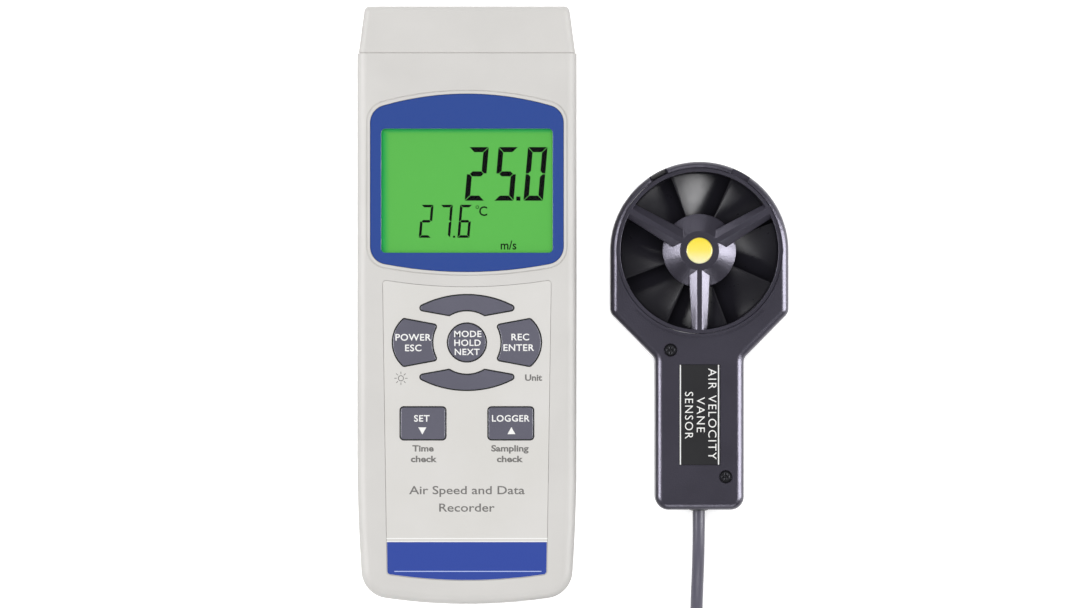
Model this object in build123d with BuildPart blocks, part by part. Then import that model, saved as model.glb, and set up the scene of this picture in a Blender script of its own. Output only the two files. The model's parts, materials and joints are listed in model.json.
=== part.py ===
from build123d import *
import math
import os

# Handheld weather meter: a data-logging meter that lies on its back, and a separate vane probe on a cable.
# Millimetres. +Z is up, out of the display; +Y runs to the meter's socket end; +X is to the right of the display.
# The origin is the centre of the meter's back, on the surface that it lies on.

os.makedirs("parts", exist_ok=True)

# ---------------------------------------------------------------- meter: case
case_width = 74.5
case_length = 203.0  # with the end cap
case_height = 37.4  # back to the flat of the front
wall = 2.4
split_height = 17.0  # where the two shells meet
front_edge_radius = 3.6
back_edge_radius = 4.5
side_taper = 1.95  # how far each side draws in at the bottom
side_taper_length = 48.0
bottom_rise = 3.3  # how far the bottom's arc falls back at the sides
bottom_corner_radius = 9.5
seam_groove = 0.3
cap_seam_groove = 0.4
root = 1.0  # how far a feature reaches into what it stands on
past = 5.0  # how far a cut runs on past the face that it opens

cap_length = 16.0
cap_step = 0.45  # the cap is this much smaller all round than the shells
cap_taper = 2.15  # how far each side draws in over the cap
cap_corner_radius = 1.8
cap_edge_radius = 2.4
spigot_length = 3.0
spigot_wall = 1.6
spigot_gap = 0.15

boss_radius = 3.7
upper_boss = (31.0, 72.0)
lower_boss = (20.0, -94.4)
screw_radius = 1.4
screw_head_radius = 2.7
screw_head_height = 1.8
screw_recess = 3.2
screw_engagement = 9.0
screw_gap = 0.15  # round a screw's shank in a clearance hole
screw_head_gap = 0.3
screw_end_gap = 0.5
boss_end_gap = 1.5  # between a boss's blind end and the outside of the front

# ---------------------------------------------------------------- meter: window
window_half_width = 32.8
window_top_side = 66.3
window_top = 71.7
window_bottom_side = 15.0
window_bottom = 11.3
window_corner_radius = 6.0
window_rim_width = 1.0
window_rim_height = 0.6
rim_groove_width = 0.35  # round the outside of the rim
rim_groove_depth = 0.4
bezel_thickness = 0.9
pane_thickness = 0.7
pane_margin = 1.5
view_half_width = 29.1
view_bottom = 17.8
view_top = 59.9
view_corner_radius = 1.4
lay_in_gap = 0.1  # round a piece that is laid into a pocket

lcd_depth = 3.0  # from the flat of the front to the glass
lcd_thickness = 1.8
lcd_margin = 0.9
lcd_frame_width = 2.0

# ---------------------------------------------------------------- meter: keypad
overlay_half_top = 28.6
overlay_half_bottom = 27.1
overlay_top_side = 8.6
overlay_top = 6.2
overlay_bottom_side = -91.3
overlay_bottom = -93.4
overlay_corner_radius = 1.2
overlay_thickness = 0.7
overlay_recess = 0.35  # the overlay's face below the flat of the front

key_centre_y = -12.66
key_proud = 0.35  # above the flat of the front
key_gap = 0.35
key_travel = 0.8
key_flange = 0.8
key_flange_height = 1.0
key_flange_gap = 0.1
round_key_radius = 6.4
side_key_outer = 25.1
side_key_outer_corner = (21.4, 7.95)
side_key_inner = 11.8
side_key_inner_corner = (10.2, 5.85)
side_key_corner_radius = 0.7
crescent_tip = (17.3, 11.35)
crescent_apex = 16.06
crescent_inner = (6.0, 9.3)
crescent_hollow = 11.0
crescent_corner_radius = 0.8
square_key_centre = (14.9, -40.1)
square_key_size = (15.1, 10.8)
square_key_corner_radius = 1.0
key_top_radius = 0.3

# ---------------------------------------------------------------- meter: inside
board_thickness = 1.6
board_half_width = 27.0
board_bottom = -97.0
board_top = 79.0
board_end_half_width = 15.0
board_end_length = 7.0
board_shoulder = 5.0
switch_size = (5.0, 4.0)
switch_height = 2.0
switch_gap = 0.25  # under a pressed key
cell_diameter = 14.5
cell_length = 50.5
cell_button_radius = 2.6
cell_button_length = 1.2
cell_count = 4
cell_pitch = 14.9
cell_row_bottom = -76.0
contact_depth = 1.6
contact_size = (9.0, 10.0)
tray_wall = 1.5
tray_clearance = 0.5

cover_thickness = 1.8
cover_half_width = 28.6
cover_end_margin = 7.0  # past the cells, where the screws sit
cover_gap = 0.25
cover_ledge = 1.8
cover_corner_radius = 2.5
cover_screw_radius = 1.2
cover_screw_head_radius = 2.4
cover_screw_head_height = 1.0
cover_screw_length = 1.9  # past the cover
cover_relief = 0.05  # between the cover's inside and its ledge

# ---------------------------------------------------------------- meter: back
stand_half_width = 20.0
stand_bottom = 20.0
stand_axis_y = 74.0
stand_axis_z = 2.8
stand_thickness = 3.0
stand_barrel_radius = 2.2
stand_gap = 0.5
stand_pin_radius = 1.0
stand_pin_clearance = 0.06
stand_notch_radius = 6.0
stand_corner_radius = 2.0
stand_lip = 0.2  # how far the stand's plate reaches back past its barrel
pocket_floor = 5.6
pocket_wall = 1.8
pin_grip = 1.4

tripod_y = 9.5
tripod_radius = 3.0
tripod_depth = 6.5
tripod_nut_radius = 5.0
tripod_nut_length = 7.6
tripod_nut_set_back = 0.2
tripod_boss_radius = 7.0
tripod_boss_roof = 1.5

# ---------------------------------------------------------------- meter: sockets
socket_height = 19.0
socket_flange_thickness = 1.5
probe_socket_x = 15.0
probe_socket_radius = 7.0
probe_socket_length = 14.0
probe_flange_width = 1.2
probe_bore_radius = 4.7
probe_bore_depth = 9.0
contact_hole_radius = 0.7
contact_hole_depth = 3.0
contact_circle_radius = 2.4
couple_socket_x = -14.0
couple_size = (18.0, 9.0)
couple_length = 13.0
couple_flange_width = 1.0
couple_slot_pitch = 7.9
couple_slots = (3.4, 2.6)
couple_slot_width = 0.9
couple_slot_depth = 9.0

jack_side = -1  # the jacks are on the left side, seen from the front
jack_board_gap = 0.35  # under the board
data_jack_y = -28.0
data_jack_radius = 1.8
data_jack_depth = 12.0
data_jack_nose_radius = 3.0
power_jack_y = -40.0
power_jack_radius = 2.9
power_jack_depth = 9.5
power_jack_nose_radius = 4.4
power_pin_radius = 1.05
power_pin_set_back = 1.0
jack_block = (13.0, 9.0, 7.0)

card_size = (24.0, 32.0, 2.1)
card_gap = 0.15
card_slot_gap = 0.4
card_set_back = 0.4  # from the case's end
card_socket_wall = 0.9
card_socket_length = 28.0
card_cut_corner = 4.0

# ---------------------------------------------------------------- probe
probe_x = 79.2
probe_y = 18.6
probe_height = 26.0
head_radius = 30.35
head_bore_radius = 28.4
shoulder_y = -2.6
handle_half_width = 15.1
neck_y = -18.1
handle_end_y = -69.8
handle_corner_radius = 4.5
shoulder_radius = 3.5
neck_radius = 3.0
probe_edge_radius = 2.7
handle_wall = 2.2
handle_cavity_top = -14.5
handle_cavity_radius = 2.5
ring_groove_radius = 30.0
ring_groove_width = 0.7
ring_groove_depth = 0.5
ring_groove_end_rise = 1.0  # above the shoulders, where the groove stops
notch_angles = (61.5, 118.3)
notch_width = 6.6
notch_depth = 3.2
notch_reach = 2.6  # times the rim's width, so that the cut clears both of its faces
label_size = (14.3, 34.5)
label_centre_y = -37.35
label_depth = 0.6
label_thickness = 0.4
label_corner_radius = 0.6
label_gap = 0.15
probe_screw_places = ((-9.9, -15.3), (8.9, -58.5))
probe_screw_recess_radius = 2.3
probe_screw_recess = 2.2
probe_screw_head_radius = 2.0
probe_screw_head_height = 1.4
probe_screw_radius = 1.1
probe_boss_radius = 3.4
probe_screw_length = 16.0

guard_clearance = 0.1
guard_ring_radius = 27.0
guard_ring_height = 7.0
guard_set_back = 0.9
hub_radius = 12.55
hub_nose_radius = 6.7
hub_height = 6.8
hub_cone_height = 4.0  # the rest of the hub is a drum
strut_angles = (30.0, 150.0, 270.0)
strut_base = (7.4, 5.2)  # at the hub and at the ring
strut_crest = 1.7
strut_height = 4.6
strut_ridge_height = 1.7  # the roof on the strut's upright sides
strut_roots = (2.0, 0.5)  # how far a strut runs into the hub and into the ring
hub_cap_radius = 4.45
hub_cap_thickness = 1.0
hub_cap_proud = 0.2
hub_cap_edge_radius = 0.3

blade_count = 8
blade_first_edge = 66.0
blade_span = 46.0
blade_height = 8.6
blade_thickness = 0.8
blade_tip_radius = 27.6
blade_root_radius = 9.0
rotor_hub_radius = 10.6
shaft_radius = 0.75
shaft_clearance = 0.05
shaft_length = 17.0
bearing_radius = 1.8
bearing_length = 2.6
bearing_end_room = 1.4  # past each bearing, for the end of the shaft
magnet_radius = 1.5
magnet_length = 3.0
magnet_circle_radius = 6.5
pickup_size = (4.0, 3.0, 2.0)

probe_board_size = (15.0, 34.0, 1.2)
probe_board_place = (-3.5, -38.0)  # from the handle's middle line
sensor_radius = 0.8
sensor_end_gap = 0.6

# ---------------------------------------------------------------- cable, coil and plug
cable_diameter = 4.2
gland_radius = 3.3
gland_flange_radius = 4.6
gland_flange_thickness = 1.5
gland_proud = 0.5
tie_thickness = 0.6
tie_width = 6.0
tie_slack = 0.35
tie_angle = 125.0
coil_x = 48.9
coil_y = -143.0
coil_outer_radius = 29.3  # to the middle of the outermost turn
coil_turns_across = 3.5
coil_layers = 2
tail_start_out = 1.0  # outside the middle of the outermost turn
plug_axis_y = -173.0
plug_height = 5.6
plug_tail_x = 24.0
boot_length = 14.0
boot_radii = (2.5, 4.4)
plug_grip_radius = 5.5
plug_grip_length = 19.0
plug_grip_edge_radius = 0.8
plug_shell_radius = 4.5
plug_shell_wall = 0.5
plug_shell_length = 9.5
plug_pin_radius = 0.5
plug_pin_set_back = 0.7
plug_insert_gap = 3.5

# ---------------------------------------------------------------- what follows from those sizes
half_width = case_width / 2
top_y = case_length / 2
bottom_y = -case_length / 2
seam_y = top_y - cap_length
inner_front = case_height - wall
bezel_floor = case_height - bezel_thickness - lay_in_gap
pane_floor = bezel_floor - pane_thickness
lcd_top = case_height - lcd_depth
overlay_face = case_height - overlay_recess
overlay_floor = overlay_face - overlay_thickness
key_top = case_height + key_proud
flange_top = inner_front - key_flange_gap
flange_bottom = flange_top - key_flange_height
switch_top = flange_bottom - key_travel - switch_gap
board_top_z = switch_top - switch_height
board_bottom_z = board_top_z - board_thickness
jack_height = board_bottom_z - jack_board_gap - jack_block[2] / 2
card_height = board_bottom_z - card_socket_wall - card_gap - card_size[2] / 2
cells_half = cell_length / 2
cell_ys = [cell_row_bottom + cell_pitch * i for i in range(cell_count)]
cell_z = cover_thickness + tray_clearance + cell_diameter / 2
tray_top = cell_z + cell_diameter / 2 + tray_clearance
cover_bottom = cell_ys[0] - cell_diameter / 2 - cover_end_margin
cover_top = cell_ys[-1] + cell_diameter / 2 + cover_end_margin
cover_middle = (cover_bottom + cover_top) / 2
cover_length = cover_top - cover_bottom
cover_screw_places = [(0, cover_bottom + cover_end_margin / 2), (0, cover_top - cover_end_margin / 2)]
probe_split = probe_height / 2
rotor_bottom = probe_split - blade_height / 2
rotor_top = probe_split + blade_height / 2


def case_outline(inset):
    """The shells' outline from the front, drawn in by inset; its top edge is the seam with the cap."""
    side = half_width - inset
    low_side = side - side_taper
    low = bottom_y + inset
    with BuildSketch(mode=Mode.PRIVATE) as outline:
        with BuildLine():
            taper_start = low + bottom_rise + side_taper_length
            right = TangentArc((side, taper_start), (low_side, low + bottom_rise), tangent=(0, -1))
            bottom = ThreePointArc(right @ 1, (0, low), (-low_side, low + bottom_rise))
            left = TangentArc((-side, taper_start), bottom @ 1, tangent=(0, -1))
            Polyline(left @ 0, (-side, seam_y), (side, seam_y), right @ 0)
        make_face()
        low_corners = outline.vertices().group_by(Axis.Y)[0]
        fillet(low_corners, bottom_corner_radius - inset)
    return outline.sketch_local


def arched_outline(half_bottom, half_top, low, low_side, high_side, high, radius, grow=0.0):
    """A four-sided outline whose bottom and top are arcs, grown by grow."""
    with BuildSketch(mode=Mode.PRIVATE) as outline:
        with BuildLine():
            foot = half_bottom + grow
            head = half_top + grow
            bottom = ThreePointArc((-foot, low_side - grow), (0, low - grow), (foot, low_side - grow))
            top = ThreePointArc((head, high_side + grow), (0, high + grow), (-head, high_side + grow))
            Line(bottom @ 1, top @ 0)
            Line(top @ 1, bottom @ 0)
        make_face()
        fillet(outline.vertices(), max(radius + grow, 0.3))
    return outline.sketch_local


def window_outline(grow=0.0):
    """The blue window's outline."""
    return arched_outline(
        window_half_width, window_half_width, window_bottom, window_bottom_side,
        window_top_side, window_top, window_corner_radius, grow,
    )


def overlay_outline(grow=0.0):
    """The keypad overlay's outline: a hollow top edge under the window's arc, and a full bottom edge."""
    return arched_outline(
        overlay_half_bottom, overlay_half_top, overlay_bottom, overlay_bottom_side,
        overlay_top_side, overlay_top, overlay_corner_radius, grow,
    )


def view_outline(grow=0.0):
    """The rectangle through which the display is read."""
    with BuildSketch(mode=Mode.PRIVATE) as outline:
        with Locations((0, (view_bottom + view_top) / 2)):
            RectangleRounded(
                2 * (view_half_width + grow), view_top - view_bottom + 2 * grow, view_corner_radius + max(grow, 0)
            )
    return outline.sketch_local


def round_key(grow):
    """The middle key's outline."""
    with BuildSketch(mode=Mode.PRIVATE) as outline:
        with Locations((0, key_centre_y)):
            Circle(round_key_radius + grow)
    return outline.sketch_local


def side_key(side, grow):
    """The left (side -1) or right (side 1) key: a full outer edge and a hollow inner edge."""
    outer_x, outer_y = side_key_outer_corner
    inner_x, inner_y = side_key_inner_corner
    with BuildSketch(mode=Mode.PRIVATE) as outline:
        with BuildLine():
            outer = ThreePointArc(
                (side * outer_x, key_centre_y - outer_y),
                (side * side_key_outer, key_centre_y),
                (side * outer_x, key_centre_y + outer_y),
            )
            inner = ThreePointArc(
                (side * inner_x, key_centre_y + inner_y),
                (side * side_key_inner, key_centre_y),
                (side * inner_x, key_centre_y - inner_y),
            )
            Line(outer @ 1, inner @ 0)
            Line(inner @ 1, outer @ 0)
        make_face()
        fillet(outline.vertices(), side_key_corner_radius)
        if grow:
            offset(amount=grow)
    return outline.sketch_local


def crescent_key(side, grow):
    """The upper (side 1) or lower (side -1) key: a long arc outside, and a hollow round the middle key."""
    tip_x, tip_y = crescent_tip
    inner_x, inner_y = crescent_inner
    with BuildSketch(mode=Mode.PRIVATE) as outline:
        with BuildLine():
            back = ThreePointArc(
                (-tip_x, key_centre_y + side * tip_y),
                (0, key_centre_y + side * crescent_apex),
                (tip_x, key_centre_y + side * tip_y),
            )
            hollow = ThreePointArc(
                (inner_x, key_centre_y + side * inner_y),
                (0, key_centre_y + side * crescent_hollow),
                (-inner_x, key_centre_y + side * inner_y),
            )
            Line(back @ 1, hollow @ 0)
            Line(hollow @ 1, back @ 0)
        make_face()
        fillet(outline.vertices(), crescent_corner_radius)
        if grow:
            offset(amount=grow)
    return outline.sketch_local


def square_key(side, grow):
    """The left (side -1) or right (side 1) square key."""
    with BuildSketch(mode=Mode.PRIVATE) as outline:
        with Locations((side * square_key_centre[0], square_key_centre[1])):
            RectangleRounded(
                square_key_size[0] + 2 * grow, square_key_size[1] + 2 * grow, square_key_corner_radius + max(grow, 0)
            )
    return outline.sketch_local


keys = {
    "hold_key": round_key,
    "power_key": lambda grow: side_key(-1, grow),
    "record_key": lambda grow: side_key(1, grow),
    "upper_key": lambda grow: crescent_key(1, grow),
    "lower_key": lambda grow: crescent_key(-1, grow),
    "set_key": lambda grow: square_key(-1, grow),
    "logger_key": lambda grow: square_key(1, grow),
}
key_middles = [
    (0, key_centre_y),
    (-(side_key_outer + side_key_inner) / 2, key_centre_y),
    ((side_key_outer + side_key_inner) / 2, key_centre_y),
    (0, key_centre_y + (crescent_apex + crescent_hollow) / 2),
    (0, key_centre_y - (crescent_apex + crescent_hollow) / 2),
    (-square_key_centre[0], square_key_centre[1]),
    square_key_centre,
]
boss_places = [(side * x, y) for side in (-1, 1) for x, y in (upper_boss, lower_boss)]

# ================================================================ meter: shells and cap
with BuildPart() as front_case:
    with BuildSketch(Plane.XY.offset(split_height)):
        add(case_outline(0))
    extrude(amount=case_height - split_height)
    front_rim = front_case.faces().sort_by(Axis.Z)[-1].edges().sort_by(Axis.Y)[:-1]
    fillet(front_rim, front_edge_radius)
    split_rim = front_case.faces().sort_by(Axis.Z)[0].edges().sort_by(Axis.Y)[:-1]
    chamfer(split_rim, seam_groove)
    with BuildSketch(Plane.XY.offset(case_height - root)):
        add(window_outline(window_rim_width))
    extrude(amount=root + window_rim_height)
    with BuildSketch(Plane.XY.offset(case_height - rim_groove_depth)):
        add(window_outline(window_rim_width + rim_groove_width))
        add(window_outline(window_rim_width), mode=Mode.SUBTRACT)
    extrude(amount=rim_groove_depth, mode=Mode.SUBTRACT)
    with BuildSketch(Plane.XY.offset(split_height)):
        add(case_outline(wall))
    extrude(amount=inner_front - split_height, mode=Mode.SUBTRACT)
    with BuildSketch(Plane.XY.offset(split_height)):
        with Locations(*boss_places):
            Circle(boss_radius)
    extrude(amount=case_height - boss_end_gap - split_height)
    with BuildSketch(Plane.XY.offset(split_height)):
        with Locations(*boss_places):
            Circle(screw_radius)
    extrude(amount=screw_engagement, mode=Mode.SUBTRACT)
    with BuildSketch(Plane.XY.offset(bezel_floor)):
        add(window_outline(lay_in_gap))
    extrude(amount=past, mode=Mode.SUBTRACT)
    with BuildSketch(Plane.XY.offset(pane_floor)):
        add(view_outline(pane_margin + lay_in_gap))
    extrude(amount=past, mode=Mode.SUBTRACT)
    with BuildSketch(Plane.XY.offset(inner_front - root)):
        add(view_outline())
    extrude(amount=past, mode=Mode.SUBTRACT)
    with BuildSketch(Plane.XY.offset(overlay_floor)):
        add(overlay_outline(lay_in_gap))
    extrude(amount=past, mode=Mode.SUBTRACT)
    for key_shape in keys.values():
        with BuildSketch(Plane.XY.offset(inner_front - root)):
            add(key_shape(key_gap))
        extrude(amount=past, mode=Mode.SUBTRACT)
    with BuildSketch(Plane.YZ.offset(jack_side * (half_width - 2 * wall))):
        with Locations((data_jack_y, jack_height)):
            Circle(data_jack_nose_radius + lay_in_gap)
        with Locations((power_jack_y, jack_height)):
            Circle(power_jack_nose_radius + lay_in_gap)
    extrude(amount=jack_side * 3 * wall, mode=Mode.SUBTRACT)
    with BuildSketch(Plane.XZ.offset(-bottom_y - 3 * wall)):
        with Locations((0, card_height)):
            Rectangle(card_size[0] + 2 * card_slot_gap, card_size[2] + 2 * card_slot_gap)
    extrude(amount=4 * wall, mode=Mode.SUBTRACT)
front_case.part.label = "front_case"
export_step(front_case.part, "parts/front_case.step")

with BuildPart() as back_case:
    with BuildSketch():
        add(case_outline(0))
    extrude(amount=split_height)
    back_rim = back_case.faces().sort_by(Axis.Z)[0].edges().sort_by(Axis.Y)[:-1]
    fillet(back_rim, back_edge_radius)
    split_rim = back_case.faces().sort_by(Axis.Z)[-1].edges().sort_by(Axis.Y)[:-1]
    chamfer(split_rim, seam_groove)
    with BuildSketch(Plane.XY.offset(wall)):
        add(case_outline(wall))
    extrude(amount=split_height, mode=Mode.SUBTRACT)
    # the battery tray: a box over the cells, open at the back, with a ledge for the cover
    with BuildSketch():
        with Locations((0, cover_middle)):
            Rectangle(2 * (cover_half_width + tray_wall), cover_length + 2 * tray_wall)
    extrude(amount=cover_thickness + cover_ledge)
    with BuildSketch():
        with Locations((0, (cell_ys[0] + cell_ys[-1]) / 2)):
            Rectangle(
                2 * (cells_half + contact_depth + tray_wall),
                cell_ys[-1] - cell_ys[0] + cell_diameter + 2 * (tray_clearance + tray_wall),
            )
    extrude(amount=tray_top + tray_wall)
    with BuildSketch():
        with Locations((0, (cell_ys[0] + cell_ys[-1]) / 2)):
            Rectangle(
                2 * (cells_half + contact_depth),
                cell_ys[-1] - cell_ys[0] + cell_diameter + 2 * tray_clearance,
            )
    extrude(amount=tray_top, mode=Mode.SUBTRACT)
    with BuildSketch():
        with Locations((0, cover_middle)):
            RectangleRounded(2 * (cover_half_width + cover_gap), cover_length + 2 * cover_gap, cover_corner_radius)
    extrude(amount=cover_thickness, mode=Mode.SUBTRACT)
    # the pocket that the stand folds into, with the ears that hold its pin
    pocket_top = stand_axis_y + stand_barrel_radius + stand_gap
    pocket_bottom = stand_bottom - stand_gap
    with BuildSketch():
        with Locations((0, (pocket_top + pocket_bottom) / 2)):
            Rectangle(2 * (stand_half_width + stand_gap + pocket_wall), pocket_top - pocket_bottom + 2 * pocket_wall)
    extrude(amount=pocket_floor + pocket_wall)
    with BuildSketch():
        with Locations((0, (pocket_top + pocket_bottom) / 2)):
            Rectangle(2 * (stand_half_width + stand_gap), pocket_top - pocket_bottom)
    extrude(amount=pocket_floor, mode=Mode.SUBTRACT)
    with BuildSketch(Plane.YZ.offset(-stand_half_width - stand_gap - pin_grip)):
        with Locations((stand_axis_y, stand_axis_z)):
            Circle(stand_pin_radius)
    extrude(amount=2 * (stand_half_width + stand_gap + pin_grip), mode=Mode.SUBTRACT)
    # the tripod nut's boss
    with BuildSketch():
        with Locations((0, tripod_y)):
            Circle(tripod_boss_radius)
    extrude(amount=tripod_nut_length + tripod_nut_set_back + tripod_boss_roof)
    with BuildSketch():
        with Locations((0, tripod_y)):
            Circle(tripod_nut_radius)
    extrude(amount=tripod_nut_length + tripod_nut_set_back, mode=Mode.SUBTRACT)
    # the screw bosses
    with BuildSketch(Plane.XY.offset(root)):
        with Locations(*boss_places):
            Circle(boss_radius)
    extrude(amount=split_height - root)
    with BuildSketch():
        with Locations(*boss_places):
            Circle(screw_head_radius + screw_head_gap)
    extrude(amount=screw_recess + screw_head_height, mode=Mode.SUBTRACT)
    with BuildSketch():
        with Locations(*boss_places):
            Circle(screw_radius + screw_gap)
    extrude(amount=split_height, mode=Mode.SUBTRACT)
    with BuildSketch():
        with Locations(*cover_screw_places):
            Circle(cover_screw_radius + screw_gap)
    extrude(amount=cover_thickness + cover_ledge, mode=Mode.SUBTRACT)
back_case.part.label = "back_case"
export_step(back_case.part, "parts/back_case.step")

with BuildPart() as top_cap:
    cap_side = half_width - cap_step
    with BuildSketch(Plane.XY.offset(cap_step)) as cap_outline:
        with BuildLine():
            Polyline(
                (-cap_side, seam_y), (cap_side, seam_y), (cap_side - cap_taper, top_y), (cap_taper - cap_side, top_y),
                close=True,
            )
        make_face()
        fillet(cap_outline.vertices().group_by(Axis.Y)[-1], cap_corner_radius)
    extrude(amount=case_height - 2 * cap_step)
    cap_front = top_cap.faces().sort_by(Axis.Z)[-1].edges().sort_by(Axis.Y)[1:]
    cap_back = top_cap.faces().sort_by(Axis.Z)[0].edges().sort_by(Axis.Y)[1:]
    fillet(cap_front + cap_back, cap_edge_radius)
    chamfer(top_cap.faces().sort_by(Axis.Y)[0].edges(), cap_seam_groove)
    with BuildSketch(Plane.XY.offset(wall)):
        with BuildLine():
            inner_side = half_width - wall - spigot_gap - spigot_wall
            Polyline(
                (-inner_side, seam_y), (inner_side, seam_y), (inner_side - cap_taper, top_y - wall),
                (cap_taper - inner_side, top_y - wall), close=True,
            )
        make_face()
    extrude(amount=case_height - 2 * wall, mode=Mode.SUBTRACT)
    # the spigot that the two shells close round
    spigot_side = half_width - wall - spigot_gap
    spigot_low = wall + spigot_gap
    spigot_high = inner_front - spigot_gap
    with BuildSketch(Plane.XZ.offset(-seam_y)):
        with Locations((0, (spigot_low + spigot_high) / 2)):
            Rectangle(2 * spigot_side, spigot_high - spigot_low)
            Rectangle(
                2 * (spigot_side - spigot_wall), spigot_high - spigot_low - 2 * spigot_wall, mode=Mode.SUBTRACT
            )
    extrude(amount=spigot_length)
    with BuildSketch(Plane.XZ.offset(-top_y)):
        with Locations((probe_socket_x, socket_height)):
            Circle(probe_socket_radius)
        with Locations((couple_socket_x, socket_height)):
            Rectangle(*couple_size)
    extrude(amount=2 * wall, mode=Mode.SUBTRACT, both=True)
top_cap.part.label = "top_cap"
export_step(top_cap.part, "parts/top_cap.step")

# ================================================================ meter: window and display
with BuildPart() as window_bezel:
    with BuildSketch(Plane.XY.offset(bezel_floor)):
        add(window_outline())
        add(view_outline(), mode=Mode.SUBTRACT)
    extrude(amount=bezel_thickness)
window_bezel.part.label = "window_bezel"
export_step(window_bezel.part, "parts/window_bezel.step")

with BuildPart() as window_pane:
    with BuildSketch(Plane.XY.offset(pane_floor)):
        add(view_outline(pane_margin))
    extrude(amount=pane_thickness)
window_pane.part.label = "window_pane"
export_step(window_pane.part, "parts/window_pane.step")

with BuildPart() as lcd_glass:
    with BuildSketch(Plane.XY.offset(lcd_top - lcd_thickness)):
        add(view_outline(lcd_margin))
    extrude(amount=lcd_thickness)
lcd_glass.part.label = "lcd_glass"
export_step(lcd_glass.part, "parts/lcd_glass.step")

lcd_bottom = lcd_top - lcd_thickness
with BuildPart() as backlight:
    with BuildSketch(Plane.XY.offset(board_top_z)):
        add(view_outline(lcd_margin))
    extrude(amount=lcd_bottom - board_top_z)
backlight.part.label = "backlight"
export_step(backlight.part, "parts/backlight.step")

with BuildPart() as lcd_frame:
    with BuildSketch(Plane.XY.offset(board_top_z)):
        add(view_outline(lcd_margin + lay_in_gap + lcd_frame_width))
        add(view_outline(lcd_margin + lay_in_gap), mode=Mode.SUBTRACT)
    extrude(amount=inner_front - board_top_z)
lcd_frame.part.label = "lcd_frame"
export_step(lcd_frame.part, "parts/lcd_frame.step")

# ================================================================ meter: keypad
with BuildPart() as keypad_overlay:
    with BuildSketch(Plane.XY.offset(overlay_floor)):
        add(overlay_outline())
    extrude(amount=overlay_thickness)
    for key_shape in keys.values():
        with BuildSketch(Plane.XY.offset(overlay_floor)):
            add(key_shape(key_gap))
        extrude(amount=overlay_thickness, mode=Mode.SUBTRACT)
keypad_overlay.part.label = "keypad_overlay"
export_step(keypad_overlay.part, "parts/keypad_overlay.step")

for key_name, key_shape in keys.items():
    with BuildPart() as key:
        with BuildSketch(Plane.XY.offset(flange_bottom)):
            add(key_shape(key_flange))
        extrude(amount=key_flange_height)
        with BuildSketch(Plane.XY.offset(flange_bottom)):
            add(key_shape(0))
        extrude(amount=key_top - flange_bottom)
        fillet(key.faces().sort_by(Axis.Z)[-1].edges(), key_top_radius)
    key.part.label = key_name
    export_step(key.part, f"parts/{key_name}.step")

with BuildPart() as key_switches:
    with BuildSketch(Plane.XY.offset(board_top_z)):
        with Locations(*key_middles):
            Rectangle(*switch_size)
    extrude(amount=switch_top - board_top_z)
key_switches.part.label = "key_switches"
export_step(key_switches.part, "parts/key_switches.step")

# ================================================================ meter: board, cells and card
with BuildPart() as main_board:
    with BuildSketch(Plane.XY.offset(board_bottom_z)):
        with BuildLine():
            Polyline(
                (-board_end_half_width, board_bottom), (board_end_half_width, board_bottom),
                (board_end_half_width, board_bottom + board_end_length),
                (board_half_width, board_bottom + board_end_length + board_shoulder), (board_half_width, board_top),
                (-board_half_width, board_top),
                (-board_half_width, board_bottom + board_end_length + board_shoulder),
                (-board_end_half_width, board_bottom + board_end_length), close=True,
            )
        make_face()
    extrude(amount=board_thickness)
main_board.part.label = "main_board"
export_step(main_board.part, "parts/main_board.step")

with BuildPart() as batteries:
    for row, cell_y in enumerate(cell_ys):
        way = 1 if row % 2 else -1
        with BuildSketch(Plane.YZ.offset(-way * cells_half)):
            with Locations((cell_y, cell_z)):
                Circle(cell_diameter / 2)
        extrude(amount=way * (cell_length - cell_button_length))
        with BuildSketch(Plane.YZ.offset(way * (cells_half - cell_button_length))):
            with Locations((cell_y, cell_z)):
                Circle(cell_button_radius)
        extrude(amount=way * cell_button_length)
batteries.part.label = "batteries"
export_step(batteries.part, "parts/batteries.step")

with BuildPart() as battery_contacts:
    for side in (-1, 1):
        with BuildSketch(Plane.YZ.offset(side * cells_half)):
            with Locations(*[(cell_y, cell_z) for cell_y in cell_ys]):
                Rectangle(*contact_size)
        extrude(amount=side * contact_depth)
battery_contacts.part.label = "battery_contacts"
export_step(battery_contacts.part, "parts/battery_contacts.step")

with BuildPart() as battery_cover:
    with BuildSketch():
        with Locations((0, cover_middle)):
            RectangleRounded(2 * cover_half_width, cover_length, cover_corner_radius)
    extrude(amount=cover_thickness - cover_relief)
    with BuildSketch():
        with Locations(*cover_screw_places):
            Circle(cover_screw_head_radius + lay_in_gap)
    extrude(amount=cover_screw_head_height, mode=Mode.SUBTRACT)
    with BuildSketch():
        with Locations(*cover_screw_places):
            Circle(cover_screw_radius)
    extrude(amount=cover_thickness, mode=Mode.SUBTRACT)
battery_cover.part.label = "battery_cover"
export_step(battery_cover.part, "parts/battery_cover.step")

with BuildPart() as cover_screws:
    with BuildSketch():
        with Locations(*cover_screw_places):
            Circle(cover_screw_head_radius)
    extrude(amount=cover_screw_head_height)
    with BuildSketch():
        with Locations(*cover_screw_places):
            Circle(cover_screw_radius)
    extrude(amount=cover_thickness + cover_screw_length)
cover_screws.part.label = "cover_screws"
export_step(cover_screws.part, "parts/cover_screws.step")

with BuildPart() as case_screws:
    with BuildSketch(Plane.XY.offset(screw_recess)):
        with Locations(*boss_places):
            Circle(screw_head_radius)
    extrude(amount=screw_head_height)
    with BuildSketch(Plane.XY.offset(screw_recess)):
        with Locations(*boss_places):
            Circle(screw_radius)
    extrude(amount=split_height + screw_engagement - screw_end_gap - screw_recess)
case_screws.part.label = "case_screws"
export_step(case_screws.part, "parts/case_screws.step")

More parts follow.
